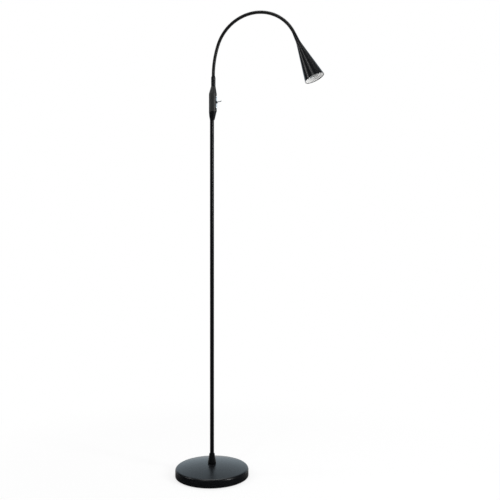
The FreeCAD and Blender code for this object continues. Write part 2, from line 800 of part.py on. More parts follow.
def make_leads():
    """The mains lead inside the base and pole, and the short wires in the housing."""
    level = S["lead_level"].value
    lead_top = (housing_inside + S["nut_height"] + S["thread_past_nut"] + S["lead_past_thread"]).value
    new_solid("mains_lead", tube_along(
        [Vector(0, base_radius.value, level), Vector(0, 0, level), Vector(0, 0, lead_top)],
        S["lead_diameter"].value, S["lead_bend_radius"].value))

    # Live from the lead to the switch, neutral straight to the block, live on from the switch
    # to the block, and a pair from the block up to the neck's lead.
    core = S["core_diameter"].value
    side = (S["core_diameter"] / 2 + S["core_gap"]).value
    switch_back = (wall_inside_x - S["toggle_body_depth"]).value
    half_spacing = S["terminal_spacing"].value / 2
    low_terminal = switch_height.value - half_spacing
    high_terminal = switch_height.value + half_spacing
    block_low = block_bottom().value
    block_high = (block_bottom() + S["block_length"]).value
    neck_x = S["neck_offset"].value
    neck_low = (neck_nut_low - S["thread_past_nut"]).value
    rise = (neck_low - block_high) / 3
    wires = [
        tube_along([Vector(side, side, lead_top), Vector(side, side, low_terminal),
                    Vector(switch_back, side, low_terminal)], core, core),
        tube_along([Vector(-side, 0, lead_top), Vector(-side, 0, block_low)], core, core),
        tube_along([Vector(switch_back, -side, high_terminal), Vector(0, -side, high_terminal),
                    Vector(0, -side, block_low)], core, core),
    ]
    for y in (-side, side):
        wires.append(tube_along([
            Vector(0, y, block_high), Vector(0, y, block_high + rise),
            Vector(neck_x, y, neck_low - rise), Vector(neck_x, y, neck_low)], core, core))
    new_solid("switch_wires", Part.Compound(wires))


def direction(heading):
    """The unit vector that leans from up towards +X by heading, in degrees."""
    return Vector(sin(radians(heading)), 0, cos(radians(heading)))


def arc_end(point, heading, radius, turn):
    """Where an arc in the XZ plane ends."""
    centre = point + direction(heading + 90) * radius
    return centre - direction(heading + turn + 90) * radius


def neck_joints():
    """The gooseneck's joints, each as (point, heading, radius, turn) of the length that follows."""
    point = Vector(S["neck_offset"].value, 0, (ferrule_top + S["neck_pivot_rise"]).value)
    heading = 0.0
    joints = []
    for stretch in ("rise", "bow"):
        radius = S[f"{stretch}_radius"].value
        links = int(S[f"{stretch}_links"].value)
        turn = S[f"{stretch}_angle"].value / links
        for _ in range(links):
            joints.append((point, heading, radius, turn))
            point = arc_end(point, heading, radius, turn)
            heading += turn
    return joints, point, heading


def round_section(point, heading, outer, bore):
    """A disc, or a ring where there is a bore, square to the neck at a point."""
    along = direction(heading)
    wires = [Part.Wire([Part.Circle(point, along, outer).toShape()])]
    if bore > 0:
        wires.append(Part.Wire([Part.Circle(point, along, bore).toShape()]))
    return Part.Face(wires, "Part::FaceMakerBullseye")


def ball_end(point, heading, outer, bore, ball):
    """The end of a length past its joint: a straight stub inside a sphere about the joint."""
    stub = round_section(point, heading, outer, bore).extrude(direction(heading) * ball)
    return stub.common(Part.makeSphere(ball, point))


def socket_space(point, heading, ball, gap, swing, outer):
    """What a length leaves free about the joint that it starts from."""
    sphere = Part.makeSphere(ball + gap, point)
    clear = ball * sin(radians(swing))
    disc = Part.makeCylinder(outer * 2, clear + ball, point - direction(heading) * ball, direction(heading))
    return sphere.fuse(disc)


def neck_length(joint, following, outer, bore, ball):
    """One curved length of the gooseneck, from its joint to the next, made about its own joint."""
    point, heading, radius, turn = joint
    start = Vector(0, 0, 0)
    centre = direction(heading + 90) * radius
    bar = round_section(start, heading, outer, bore).revolve(centre, Vector(0, 1, 0), turn)
    if following:
        end = following[0] - point
        bar = bar.fuse(ball_end(end, following[1], outer, bore, ball)).removeSplitter()
    space = socket_space(start, heading, ball, S["ball_gap"].value, S["joint_swing_angle"].value, neck_radius.value)
    return bar.cut(space).translated(point)


def neck_stub(joint, low, outer, bore, ball):
    """The first, straight length, held in the ferrule."""
    point, heading = joint[:2]
    foot = Vector(point.x, point.y, low)
    bar = round_section(foot, heading, outer, bore).extrude(point - foot)
    return bar.fuse(ball_end(point, heading, outer, bore, ball)).removeSplitter()


def make_neck():
    """The gooseneck's jacketed tube and the lead in it, a length for each joint."""
    joints, head, head_heading = neck_joints()
    ball = neck_radius.value
    bore = S["neck_bore"].value / 2
    foot = Vector(joints[0][0].x, 0, neck_foot.value)
    foot_pocket = Part.makeCylinder(thread_hole.value, S["nipple_grip"].value, foot)
    head_pocket = Part.makeCylinder(
        thread_hole.value, S["head_nipple_grip"].value, head, direction(head_heading) * -1)
    lead_low = (neck_nut_low - S["thread_past_nut"]).value
    lead_tail = round_section(head, head_heading, lead_radius.value, 0).extrude(
        direction(head_heading) * lead_tail_length().value)

    tube = neck_stub(joints[0], neck_foot.value, ball, bore, ball).cut(foot_pocket)
    new_solid("neck_tube_1", tube)
    new_solid("neck_lead_1", neck_stub(joints[0], lead_low, lead_radius.value, 0, ball))
    for number, joint in enumerate(joints, start=2):
        last = number == len(joints) + 1
        following = None if last else joints[number - 1]
        tube = neck_length(joint, following, ball, bore, ball)
        lead = neck_length(joint, following, lead_radius.value, 0, ball)
        if last:
            tube = tube.cut(head_pocket)
            lead = lead.fuse(lead_tail).removeSplitter()
        new_solid(f"neck_tube_{number}", tube)
        new_solid(f"neck_lead_{number}", lead)
    for number, (point, heading, radius, turn) in enumerate(joints, start=1):
        print(f"joint {number}: x {point.x:.3f} z {point.z:.3f} heading {heading:.3f}")
    print(f"shade start: x {head.x:.3f} z {head.z:.3f} heading {head_heading:.3f}")


def lead_tail_length():
    """How far the lead runs into the shade: a little past the head nipple."""
    return (S["shade_web_depth"] + S["cup_floor"] + S["nut_height"] + S["thread_past_nut"]
            + S["lead_past_thread"])


def cone_slope():
    """How much the cone's radius grows along its depth."""
    growth = (S["shade_mouth_diameter"] - S["shade_waist_diameter"]) / 2
    return growth / (S["shade_length"] - S["shade_neck_length"])


def shade_radius(depth):
    """Outer radius of the cone at a depth from the shade's top."""
    return S["shade_waist_diameter"] / 2 + cone_slope() * (depth - S["shade_neck_length"])


def holder_depth():
    """The depth at which the cone is wide enough inside for the lampholder's back."""
    needed_radius = S["holder_diameter"] / 2 + S["holder_side_gap"] + S["shade_wall"]
    return S["shade_neck_length"] + (needed_radius - S["shade_waist_diameter"] / 2) / cone_slope()


def make_shade():
    """The cone shade and what holds the lampholder in it. Depths run from the shade's top."""
    _, head, heading = neck_joints()
    wall = S["shade_wall"]
    web = S["shade_web_depth"]
    length = S["shade_length"]
    shell_bore = thread_radius + S["gland_bore_gap"]
    mouth = S["shade_mouth_diameter"] / 2
    waist = S["shade_waist_diameter"] / 2
    shell = new_body("shade_shell")
    cone = spin(shell, "Revolution", [
        (shell_bore, 0), (S["shade_neck_diameter"] / 2, 0), (waist, S["shade_neck_length"]),
        (mouth, length), (mouth - wall, length), (shade_radius(web) - wall, web), (shell_bore, web)])
    round_edges(shell, cone, S["shade_waist_rounding"], circle_at(waist, S["shade_neck_length"]))

    cup_floor = S["cup_floor"]
    nut_low = web + cup_floor
    nipple_end = nut_low + S["nut_height"] + S["thread_past_nut"]
    grip = S["head_nipple_grip"]
    nipple = turned("head_nipple", [
        (bore_radius, -grip), (thread_radius, -grip), (thread_radius, nipple_end), (bore_radius, nipple_end)])

    nut = new_body("head_nut")

    def draw_nut(sketch):
        draw_outline(sketch, hexagon(S["nut_across_flats"]))
        draw_circle(sketch, 0, 0, thread_hole)
    pad(nut, draw_nut, nut_low, S["nut_height"])

    cup_inside = S["cup_bore"] / 2
    cup_outside = cup_inside + S["cup_wall"]
    cup_end = holder_depth()
    flange = S["cup_flange_diameter"] / 2
    holder_screw_x = S["holder_screw_circle"] / 2
    screw_radius = S["holder_screw_diameter"] / 2
    flange_back = cup_end - cup_floor
    cup = turned("holder_cup", [
        (thread_hole, web), (cup_outside, web), (cup_outside, flange_back), (flange, flange_back),
        (flange, cup_end), (cup_inside, cup_end), (cup_inside, nut_low), (thread_hole, nut_low)])

    def draw_screw_holes(sketch):
        for side in (-1, 1):
            draw_circle(sketch, holder_screw_x * side, 0, screw_radius + S["thread_gap"])
    cut(cup, draw_screw_holes, flange_back, cup_floor)

    screws = new_body("holder_screws")
    head_low = flange_back - S["holder_screw_head_height"]
    for side in (-1, 1):
        pad(screws, lambda sketch: draw_circle(
            sketch, holder_screw_x * side, 0, S["holder_screw_head_diameter"] / 2),
            head_low, S["holder_screw_head_height"])
        pad(screws, lambda sketch: draw_circle(sketch, holder_screw_x * side, 0, screw_radius),
            flange_back, S["holder_screw_length"])

    holder = make_lampholder(cup_end)
    cut(holder, draw_screw_holes, cup_end, S["holder_screw_length"] - cup_floor + S["thread_gap"])
    for piece in (shell, nipple, nut, cup, screws, holder):
        set_place(piece, head, heading)

    core = S["core_diameter"].value
    start_depth = lead_tail_length().value
    end_depth = cup_end.value
    third = (end_depth - start_depth) / 3
    near = (S["core_diameter"] / 2 + S["core_gap"]).value
    spread = S["holder_wire_spread"].value
    wires = []
    for side in (-1, 1):
        wires.append(tube_along([
            Vector(side * near, 0, start_depth), Vector(side * near, 0, start_depth + third),
            Vector(side * spread, 0, end_depth - third), Vector(side * spread, 0, end_depth)], core, core))
    wire_pair = new_solid("holder_wires", Part.Compound(wires))
    set_place(wire_pair, head, heading)
    return cup_end


def make_lampholder(back):
    """The ceramic holder: pin slots in its front lip, and a race behind them for the pin heads."""
    front = back + S["holder_length"]
    lip = S["holder_lip"]
    race = S["holder_race_depth"]
    pin_x = S["pin_spacing"] / 2
    head_radius = S["pin_head_diameter"] / 2 + S["pin_gap"]
    slot_half = S["pin_diameter"] / 2 + S["pin_gap"]
    holder = turned("lampholder", [
        (0, back), (S["holder_diameter"] / 2, back), (S["holder_diameter"] / 2, front), (0, front)])
    race_inner = pin_x - head_radius - S["holder_race_gap"]
    race_outer = pin_x + head_radius + S["holder_race_gap"]
    spin(holder, "Groove", box_outline(race_inner, race_outer, front - lip - race, front - lip))
    twist = radians(S["bulb_twist_angle"].value)
    past = radians(S["holder_slot_overrun_angle"].value)
    inner = pin_x - slot_half
    outer = pin_x + slot_half

    def draw_slots(sketch):
        for turn in (0.0, radians(180.0)):
            low = turn - past
            high = turn + twist + past
            draw_outline(sketch, [
                (inner * cos(low), inner * sin(low)), (outer * cos(low), outer * sin(low)),
                Bow(outer, "left"), (outer * cos(high), outer * sin(high)),
                (inner * cos(high), inner * sin(high)), Bow(inner, "right")])
    cut(holder, draw_slots, front - lip, lip)

    def draw_entries(sketch):
        for turn in (twist, twist + radians(180.0)):
            draw_circle(sketch, pin_x * cos(turn), pin_x * sin(turn), head_radius)
    cut(holder, draw_entries, front - lip, lip)
    return holder


def make_bulb(holder_back):
    """The reflector bulb, twisted into the lampholder by its two pins."""
    _, head, heading = neck_joints()
    base_back = holder_back + S["holder_length"] + S["bulb_seat_gap"]
    base_front = base_back + S["bulb_base_length"]
    face = base_back + S["bulb_length"]
    glass = S["bulb_glass"]
    rim_radius = S["bulb_diameter"] / 2
    plug = S["bulb_base_diameter"] / 2
    bowl_back = plug - glass / 2
    bowl = S["bulb_bowl_radius"]
    lens = S["lens_thickness"]
    capsule = S["capsule_diameter"] / 2
    base = turned("bulb_base", [
        (0, base_back), (plug, base_back), (plug, base_front), (0, base_front)])
    reflector = turned("bulb_reflector", [
        (capsule + glass, base_front), (bowl_back, base_front), Bow(bowl, "left"),
        (rim_radius, face - S["bulb_rim"]), (rim_radius, face), (rim_radius - glass, face),
        (rim_radius - glass, face - S["bulb_rim"]), Bow(bowl - glass, "right"),
        (bowl_back - glass, base_front + glass), (capsule + glass, base_front + glass)])
    front = turned("bulb_lens", [
        (0, face - lens), (rim_radius - glass, face - lens), (rim_radius - glass, face), (0, face)])
    burner = turned("bulb_capsule", [
        (0, base_front), (capsule, base_front), (capsule, base_front + S["capsule_length"] - capsule),
        Bow(capsule, "left"), (0, base_front + S["capsule_length"])])
    pins = new_body("bulb_pins")
    pin_low = base_back - S["pin_length"]
    for side in (-1, 1):
        pin_x = S["pin_spacing"] / 2 * side
        pad(pins, lambda sketch: draw_circle(sketch, pin_x, 0, S["pin_diameter"] / 2),
            pin_low, S["pin_length"])
        pad(pins, lambda sketch: draw_circle(sketch, pin_x, 0, S["pin_head_diameter"] / 2),
            pin_low, S["pin_head_height"])
    for piece in (base, reflector, front, burner, pins):
        set_place(piece, head, heading)


def sub_parts():
    """Every object that is a piece of the lamp."""
    return [item for item in doc.Objects if item.TypeId in ("PartDesign::Body", "Part::Feature")]


def check_model():
    """Stops if any object failed, any piece is broken, or any cut removed nothing."""
    for item in doc.Objects:
        if "Invalid" in item.State or "Error" in item.State:
            raise RuntimeError(f"{item.Label} failed: {item.State}")
    for piece in sub_parts():
        if piece.Shape.isNull() or not piece.Shape.isValid() or not piece.Shape.Solids:
            raise RuntimeError(f"{piece.Label} has no valid solid")
    for item in doc.Objects:
        if item.TypeId in ("PartDesign::Pocket", "PartDesign::Groove", "PartDesign::SubtractiveLoft"):
            before = item.BaseFeature.Shape.Volume
            if item.Shape.Volume > before - 1e-3:
                raise RuntimeError(f"{item.Label} cuts nothing")


def export_parts():
    """Writes each piece to its own file and prints its size."""
    os.makedirs("parts", exist_ok=True)
    for piece in sub_parts():
        piece.Shape.exportStep(f"parts/{piece.Label}.step")
        box = piece.Shape.BoundBox
        print(f"{piece.Label}: {len(piece.Shape.Solids)} solid, {box.XMin:.1f} {box.XMax:.1f} "
              f"{box.YMin:.1f} {box.YMax:.1f} {box.ZMin:.1f} {box.ZMax:.1f}")


make_base()
make_stem_fittings()
make_pole()
make_switch_housing()
make_switch()
make_ferrule()
make_leads()
make_neck()
holder_back = make_shade()
make_bulb(holder_back)
doc.recompute()
check_model()
export_parts()
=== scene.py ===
# %% [markdown]
# # A gooseneck reading floor lamp
# The lamp is a round weighted base, a slim pole, a small switch housing, a bendable gooseneck
# and a cone shade with a reflector bulb. The CAD model gives every size and every joint, so this
# lesson only dresses it: smoother surfaces, softened edges, paint, metal, glass and light.

import json
from math import ceil, cos, pi, radians, sin, sqrt, tan, tau

import bmesh
import bpy
from mathutils import Matrix, Vector


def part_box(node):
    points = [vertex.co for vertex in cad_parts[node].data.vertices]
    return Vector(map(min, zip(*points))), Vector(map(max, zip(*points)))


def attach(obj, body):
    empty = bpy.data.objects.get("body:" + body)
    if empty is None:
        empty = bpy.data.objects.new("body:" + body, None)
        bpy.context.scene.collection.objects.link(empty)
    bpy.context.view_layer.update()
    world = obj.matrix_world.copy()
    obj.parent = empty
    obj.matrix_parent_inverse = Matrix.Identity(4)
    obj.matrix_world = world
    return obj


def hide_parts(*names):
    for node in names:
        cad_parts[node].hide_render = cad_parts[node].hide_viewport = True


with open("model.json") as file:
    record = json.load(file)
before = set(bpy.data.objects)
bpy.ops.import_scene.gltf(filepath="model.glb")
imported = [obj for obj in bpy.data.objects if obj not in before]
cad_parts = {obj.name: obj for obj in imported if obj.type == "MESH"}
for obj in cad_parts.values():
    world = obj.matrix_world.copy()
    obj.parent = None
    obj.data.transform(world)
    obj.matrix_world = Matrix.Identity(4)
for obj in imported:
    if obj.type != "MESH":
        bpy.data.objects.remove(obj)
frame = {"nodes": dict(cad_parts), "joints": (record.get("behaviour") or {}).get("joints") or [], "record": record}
nodes = frame["nodes"]
joints = {joint["name"]: joint for joint in frame["joints"]}
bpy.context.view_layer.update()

# %% [markdown]
# ## The camera
# The photograph looks level along a line 17 degrees off the lamp's own plane, from two metres
# away and about half the lamp's height. With no tilt, upright edges stay upright, as they do
# there. The lens follows from how wide a 230 mm base looks from that distance.

# %% Camera
CAMERA_HEIGHT = 0.710
CAMERA_DISTANCE = 1.9845
CAMERA_ASIDE = 0.1197
CAMERA_TURN = radians(17.0)
LENS = 45.36
SENSOR = 36.0

look = Vector((-sin(CAMERA_TURN), cos(CAMERA_TURN), 0))
to_right = Vector((cos(CAMERA_TURN), sin(CAMERA_TURN), 0))
camera_data = bpy.data.cameras.new("camera")
camera_data.lens = LENS
camera_data.sensor_width = SENSOR
camera = bpy.data.objects.new("camera", camera_data)
camera.location = to_right * CAMERA_ASIDE - look * CAMERA_DISTANCE + Vector((0, 0, CAMERA_HEIGHT))
camera.rotation_euler = (radians(90), 0, CAMERA_TURN)
bpy.context.scene.collection.objects.link(camera)
bpy.context.scene.camera = camera
bpy.context.scene.view_settings.view_transform = "Standard"
print("camera at", [round(value, 3) for value in camera.location])

# %% [markdown]
# ## Small tools for materials
# Every material is a tree of nodes. The first helper below adds a node, sets its values and wires
# its inputs in one call, which keeps each material short enough to read. The next ones do one
# step of arithmetic, on numbers or on vectors, and the last one mixes two colours by a mask.


# %% Node helpers
def add_node(tree, kind, values=None, links=None, **settings):
    """Adds a node, sets its inputs and its own settings, and wires other nodes' outputs to it."""
    node = tree.nodes.new(kind)
    for setting, value in settings.items():
        setattr(node, setting, value)
    for socket, value in (values or {}).items():
        node.inputs[socket].default_value = value
    for socket, source in (links or {}).items():
        tree.links.new(source, node.inputs[socket])
    return node


def arithmetic_node(tree, kind, operation, first, second=None, result=0):
    """One step of arithmetic on one or two outputs or values; gives its result."""
    node = add_node(tree, kind, operation=operation)
    for index, source in enumerate((first, second)):
        if isinstance(source, bpy.types.NodeSocket):
            tree.links.new(source, node.inputs[index])
        elif source is not None:
            node.inputs[index].default_value = source
    return node.outputs[result]


def math_node(tree, operation, first, second=None):
    """Arithmetic on numbers."""
    return arithmetic_node(tree, "ShaderNodeMath", operation, first, second)


def vector_node(tree, operation, first, second=None, result="Vector"):
    """Arithmetic on vectors; its result is a vector, or a number if result is Value."""
    return arithmetic_node(tree, "ShaderNodeVectorMath", operation, first, second, result)


def mix_colours(tree, factor, first, second):
    """Mixes two colours by a mask; gives the mixed colour."""
    node = tree.nodes.new("ShaderNodeMix")
    node.data_type = "RGBA"
    colour_a, colour_b = [socket for socket in node.inputs if socket.type == "RGBA"]
    colour_a.default_value = (*first, 1.0)
    colour_b.default_value = (*second, 1.0)
    tree.links.new(factor, node.inputs[0])
    return next(socket for socket in node.outputs if socket.type == "RGBA")


# %% Group helpers
def new_group(name, inputs):
    """A shader node group that takes the named numbers and gives a Normal and a Mask."""
    tree = bpy.data.node_groups.new(name, "ShaderNodeTree")
    for label, value in inputs.items():
        socket = tree.interface.new_socket(label, in_out="INPUT", socket_type="NodeSocketFloat")
        socket.default_value = value
    tree.interface.new_socket("Normal", in_out="OUTPUT", socket_type="NodeSocketVector")
    tree.interface.new_socket("Mask", in_out="OUTPUT", socket_type="NodeSocketFloat")
    return tree


def close_group(tree, normal, mask):
    """Wires the group's two outputs."""
    add_node(tree, "NodeGroupOutput", links={"Normal": normal, "Mask": mask})
    return tree


# %% [markdown]
# ## Shared surface effects
# A sprayed coat is never a perfect mirror: it has a fine skin like an orange's, and its gloss
# drifts a little from place to place. Drawn or turned metal has fine lines instead. Both are
# used by several materials, so each is a group, built once, with its scale and depth as inputs.


# %% Sprayed skin group
def sprayed_skin():
    """Fine bumps of a sprayed coat, and a slow drift between 0 and 1 for its gloss."""
    tree = new_group("Sprayed skin", {"Scale": 700.0, "Depth": 0.1, "Drift Scale": 9.0})
    given = add_node(tree, "NodeGroupInput")
    place = add_node(tree, "ShaderNodeTexCoord")
    fine = add_node(tree, "ShaderNodeTexNoise", {"Detail": 2.0, "Roughness": 0.45},
                    {"Vector": place.outputs["Object"], "Scale": given.outputs["Scale"]})
    drift = add_node(tree, "ShaderNodeTexNoise", {"Detail": 3.0, "Roughness": 0.55},
                     {"Vector": place.outputs["Object"], "Scale": given.outputs["Drift Scale"]})
    bump = add_node(tree, "ShaderNodeBump", {"Distance": 0.0002},
                    {"Height": fine.outputs["Fac"], "Strength": given.outputs["Depth"]})
    return close_group(tree, bump.outputs["Normal"], drift.outputs["Fac"])


# %% Drawn lines group
def drawn_lines():
    """Fine parallel lines along Z, as brushing or drawing leaves, with their own mask."""
    tree = new_group("Drawn lines", {"Stretch": 0.02, "Scale": 4000.0, "Depth": 0.15})
    given = add_node(tree, "NodeGroupInput")
    place = add_node(tree, "ShaderNodeTexCoord")
    shrink = add_node(tree, "ShaderNodeCombineXYZ", {"X": 1.0, "Y": 1.0},
                      {"Z": given.outputs["Stretch"]})
    squeezed = vector_node(tree, "MULTIPLY", place.outputs["Object"], shrink.outputs["Vector"])
    lines = add_node(tree, "ShaderNodeTexNoise", {"Detail": 3.0, "Roughness": 0.6},
                     {"Vector": squeezed, "Scale": given.outputs["Scale"]})
    bump = add_node(tree, "ShaderNodeBump", {"Distance": 0.0001},
                    {"Height": lines.outputs["Fac"], "Strength": given.outputs["Depth"]})
    return close_group(tree, bump.outputs["Normal"], lines.outputs["Fac"])


SKIN = sprayed_skin()
LINES = drawn_lines()
print("node groups:", [tree.name for tree in bpy.data.node_groups])


# %% [markdown]
# ## One builder for most finishes
# Paint, plastic, rubber, metal and ceramic differ in colour, gloss and grain, but are wired
# alike: a shared group bends the normal, and its mask mixes two shades and two degrees of
# gloss. Numbers that are the same all over stay on the Principled shader itself.


# %% Finish builder
def new_finish(name, shades, gloss, group, grain, **shader_values):
    """A material from two shades, two roughnesses and a surface group with its own inputs."""
    material = bpy.data.materials.new(name)
    material.use_nodes = True
    tree = material.node_tree
    shader = tree.nodes["Principled BSDF"]
    surface = add_node(tree, "ShaderNodeGroup", node_tree=group)
    for label, value in grain.items():
        surface.inputs[label].default_value = value
    colour = mix_colours(tree, surface.outputs["Mask"], *shades)
    rough = add_node(tree, "ShaderNodeMapRange", {"To Min": gloss[0], "To Max": gloss[1]},
                     {"Value": surface.outputs["Mask"]})
    tree.links.new(colour, shader.inputs["Base Color"])
    tree.links.new(rough.outputs["Result"], shader.inputs["Roughness"])
    tree.links.new(surface.outputs["Normal"], shader.inputs["Normal"])
    for socket, value in shader_values.items():
        shader.inputs[socket.replace("_", " ")].default_value = value
    return material


# %% [markdown]
# ## Painted and moulded finishes
# The lamp is nearly all black, but not one black. Sprayed steel is smooth and mirrors the bright
# backdrop at a low angle; the moulded switch housing is greyer and grainy; the sleeve of the
# gooseneck lies between the two. Their colours are almost black, so gloss and grain tell them
# apart. The two shades of each finish are close together: they only keep it from looking flat.

# %% Black finishes
FINISH = {}
FINISH["satin_black"] = new_finish(
    "satin_black", ((0.0030, 0.0034, 0.0042), (0.0050, 0.0056, 0.0070)), (0.23, 0.31), SKIN,
    {"Scale": 900.0, "Depth": 0.04, "Drift Scale": 8.0}, Specular_IOR_Level=0.27)
FINISH["neck_black"] = new_finish(
    "neck_black", ((0.0050, 0.0050, 0.0050), (0.0090, 0.0090, 0.0086)), (0.34, 0.44), SKIN,
    {"Scale": 1600.0, "Depth": 0.12, "Drift Scale": 30.0}, Specular_IOR_Level=0.28)
FINISH["housing_black"] = new_finish(
    "housing_black", ((0.0150, 0.0150, 0.0148), (0.0220, 0.0220, 0.0216)), (0.42, 0.54), SKIN,
    {"Scale": 1500.0, "Depth": 0.25, "Drift Scale": 40.0}, Specular_IOR_Level=0.45)
FINISH["black_plastic"] = new_finish(
    "black_plastic", ((0.016, 0.016, 0.017), (0.024, 0.024, 0.025)), (0.42, 0.55), SKIN,
    {"Scale": 1800.0, "Depth": 0.3, "Drift Scale": 60.0}, Specular_IOR_Level=0.45)
FINISH["pad_rubber"] = new_finish(
    "pad_rubber", ((0.020, 0.020, 0.021), (0.040, 0.039, 0.038)), (0.75, 0.90), SKIN,
    {"Scale": 1200.0, "Depth": 0.5, "Drift Scale": 25.0}, Specular_IOR_Level=0.3)
FINISH["lead_sheath"] = new_finish(
    "lead_sheath", ((0.018, 0.018, 0.018), (0.028, 0.028, 0.028)), (0.45, 0.60), SKIN,
    {"Scale": 2500.0, "Depth": 0.2, "Drift Scale": 80.0})
print("black finishes:", list(FINISH))

# %% [markdown]
# ## Metal finishes
# Bare metal shows at the bright switch plate, its screws and the toggle, and the rest of it sits
# inside the lamp and under the base. On metal the base colour is the colour of the reflection, so
# steel is grey and brass is yellow. Drawn and turned parts get the fine lines, while plated and
# cast parts get the skin. The cast weight is only partly metallic, because its skin is dull.

# %% Metal finishes
FINISH["plate_steel"] = new_finish(
    "plate_steel", ((0.84, 0.85, 0.86), (0.93, 0.93, 0.94)), (0.16, 0.26), LINES,
    {"Stretch": 0.02, "Scale": 5000.0, "Depth": 0.1}, Metallic=1.0)
FINISH["switch_chrome"] = new_finish(
    "switch_chrome", ((0.62, 0.63, 0.65), (0.70, 0.71, 0.73)), (0.10, 0.18), SKIN,
    {"Scale": 2500.0, "Depth": 0.03, "Drift Scale": 200.0}, Metallic=1.0)
FINISH["nut_black"] = new_finish(
    "nut_black", ((0.030, 0.030, 0.032), (0.060, 0.060, 0.062)), (0.30, 0.42), LINES,
    {"Stretch": 0.5, "Scale": 4000.0, "Depth": 0.15}, Metallic=1.0)
FINISH["plated_steel"] = new_finish(
    "plated_steel", ((0.52, 0.53, 0.52), (0.64, 0.64, 0.62)), (0.28, 0.46), SKIN,
    {"Scale": 600.0, "Depth": 0.08, "Drift Scale": 60.0}, Metallic=1.0)
FINISH["fitting_steel"] = new_finish(
    "fitting_steel", ((0.42, 0.41, 0.39), (0.58, 0.57, 0.54)), (0.30, 0.50), LINES,
    {"Stretch": 0.6, "Scale": 1500.0, "Depth": 0.2}, Metallic=1.0)
FINISH["cast_iron"] = new_finish(
    "cast_iron", ((0.060, 0.058, 0.056), (0.110, 0.105, 0.100)), (0.62, 0.82), SKIN,
    {"Scale": 260.0, "Depth": 0.9, "Drift Scale": 30.0}, Metallic=0.4)
FINISH["pin_brass"] = new_finish(
    "pin_brass", ((0.66, 0.50, 0.22), (0.78, 0.62, 0.32)), (0.22, 0.36), LINES,
    {"Stretch": 0.3, "Scale": 5000.0, "Depth": 0.1}, Metallic=1.0)

# %% [markdown]
# ## Pale finishes and glass
# The shade is enamelled white inside, and it holds a ceramic lampholder, a mirror and a front
# glass. The terminal block and the wires' sleeves, inside the lamp, are pale too. The enamel's
# gloss is a thin clear coat over white paint. The glass has full transmission and its own
# refractive index, so it bends and mirrors light as real glass does.

# %% Pale finishes and glass
FINISH["pale_plastic"] = new_finish(
    "pale_plastic", ((0.66, 0.65, 0.61), (0.74, 0.73, 0.69)), (0.40, 0.52), SKIN,
    {"Scale": 1500.0, "Depth": 0.1, "Drift Scale": 60.0})
FINISH["wire_sleeve"] = new_finish(
    "wire_sleeve", ((0.60, 0.58, 0.52), (0.70, 0.68, 0.62)), (0.55, 0.70), SKIN,
    {"Scale": 3000.0, "Depth": 0.5, "Drift Scale": 150.0})
FINISH["ceramic"] = new_finish(
    "ceramic", ((0.70, 0.69, 0.66), (0.78, 0.77, 0.74)), (0.30, 0.50), SKIN,
    {"Scale": 500.0, "Depth": 0.12, "Drift Scale": 50.0}, Coat_Weight=0.15)
FINISH["shade_white"] = new_finish(
    "shade_white", ((0.88, 0.88, 0.87), (0.93, 0.93, 0.92)), (0.16, 0.26), SKIN,
    {"Scale": 900.0, "Depth": 0.06, "Drift Scale": 15.0}, Coat_Weight=0.3)
FINISH["bulb_mirror"] = new_finish(
    "bulb_mirror", ((0.80, 0.81, 0.82), (0.88, 0.88, 0.88)), (0.06, 0.14), SKIN,
    {"Scale": 500.0, "Depth": 0.05, "Drift Scale": 120.0}, Metallic=1.0)
FINISH["bulb_glass"] = new_finish(
    "bulb_glass", ((0.96, 0.97, 0.97), (0.99, 0.99, 0.99)), (0.02, 0.08), SKIN,
    {"Scale": 300.0, "Depth": 0.04, "Drift Scale": 60.0}, Transmission_Weight=1.0, IOR=1.46)
print("all finishes:", len(FINISH))


# %% [markdown]
# ## Dressing the CAD nodes
# Most CAD nodes already have the right shape, so they only get a finish: the imported record says
# which material slot each node belongs to, and the finishes above carry the same names. Later
# cells replace a few nodes with finer pieces. The lower cap of the switch housing is the one
# exception: it is made of the housing's material, but it gets the pole's darker satin black as
# painted shade, so it renders darker than the two parts above it.

# %% Finish on every CAD node
for part in frame["record"]["subparts"]:
    node = nodes[part["node"]]
    node.data.materials.clear()
    # The lower cap takes satin black instead of its own slot's finish: painted shade, to render it darker.
    finish = "satin_black" if part["node"] == "lower_cap" else part["material_slot"]
    node.data.materials.append(FINISH[finish])
print("dressed nodes:", len(nodes))


# %% [markdown]
# ## Turning pieces on a lathe
# Tubes, cones and domes are all round, so one helper spins a closed outline about an upright
# axis. A Bevel modifier then breaks the sharp turned corners by a fraction of a millimetre, as a
# real edge is, so each corner catches a thin line of light.


# %% Lathe helper
def spun(name, outline, sides, axis_at=(0.0, 0.0)):
    """A closed mesh: a closed outline of (radius, height) points turned about an upright axis."""
    shape = bmesh.new()
    rings = [[shape.verts.new((axis_at[0] + radius * cos(tau * step / sides),
                               axis_at[1] + radius * sin(tau * step / sides), height))
              for step in range(sides)] for radius, height in outline]
    for ring, following in zip(rings, rings[1:] + rings[:1]):
        for step in range(sides):
            after = (step + 1) % sides
            shape.faces.new((ring[step], ring[after], following[after], following[step]))
    bmesh.ops.recalc_face_normals(shape, faces=shape.faces)
    return from_bmesh(name, shape)


def from_bmesh(name, shape):
    """Turns a finished bmesh into a smooth-shaded object in the scene."""
    mesh = bpy.data.meshes.new(name)
    shape.to_mesh(mesh)
    shape.free()
    mesh.shade_smooth()
    piece = bpy.data.objects.new(name, mesh)
    bpy.context.scene.collection.objects.link(piece)
    return piece


# %% Outline helpers
def arc_points(centre, first, last, steps):
    """Points round a centre from one spoke to another of the same length."""
    turned = [first.slerp(last, step / steps).normalized() for step in range(steps + 1)]
    return [tuple(centre + spoke * first.length) for spoke in turned]


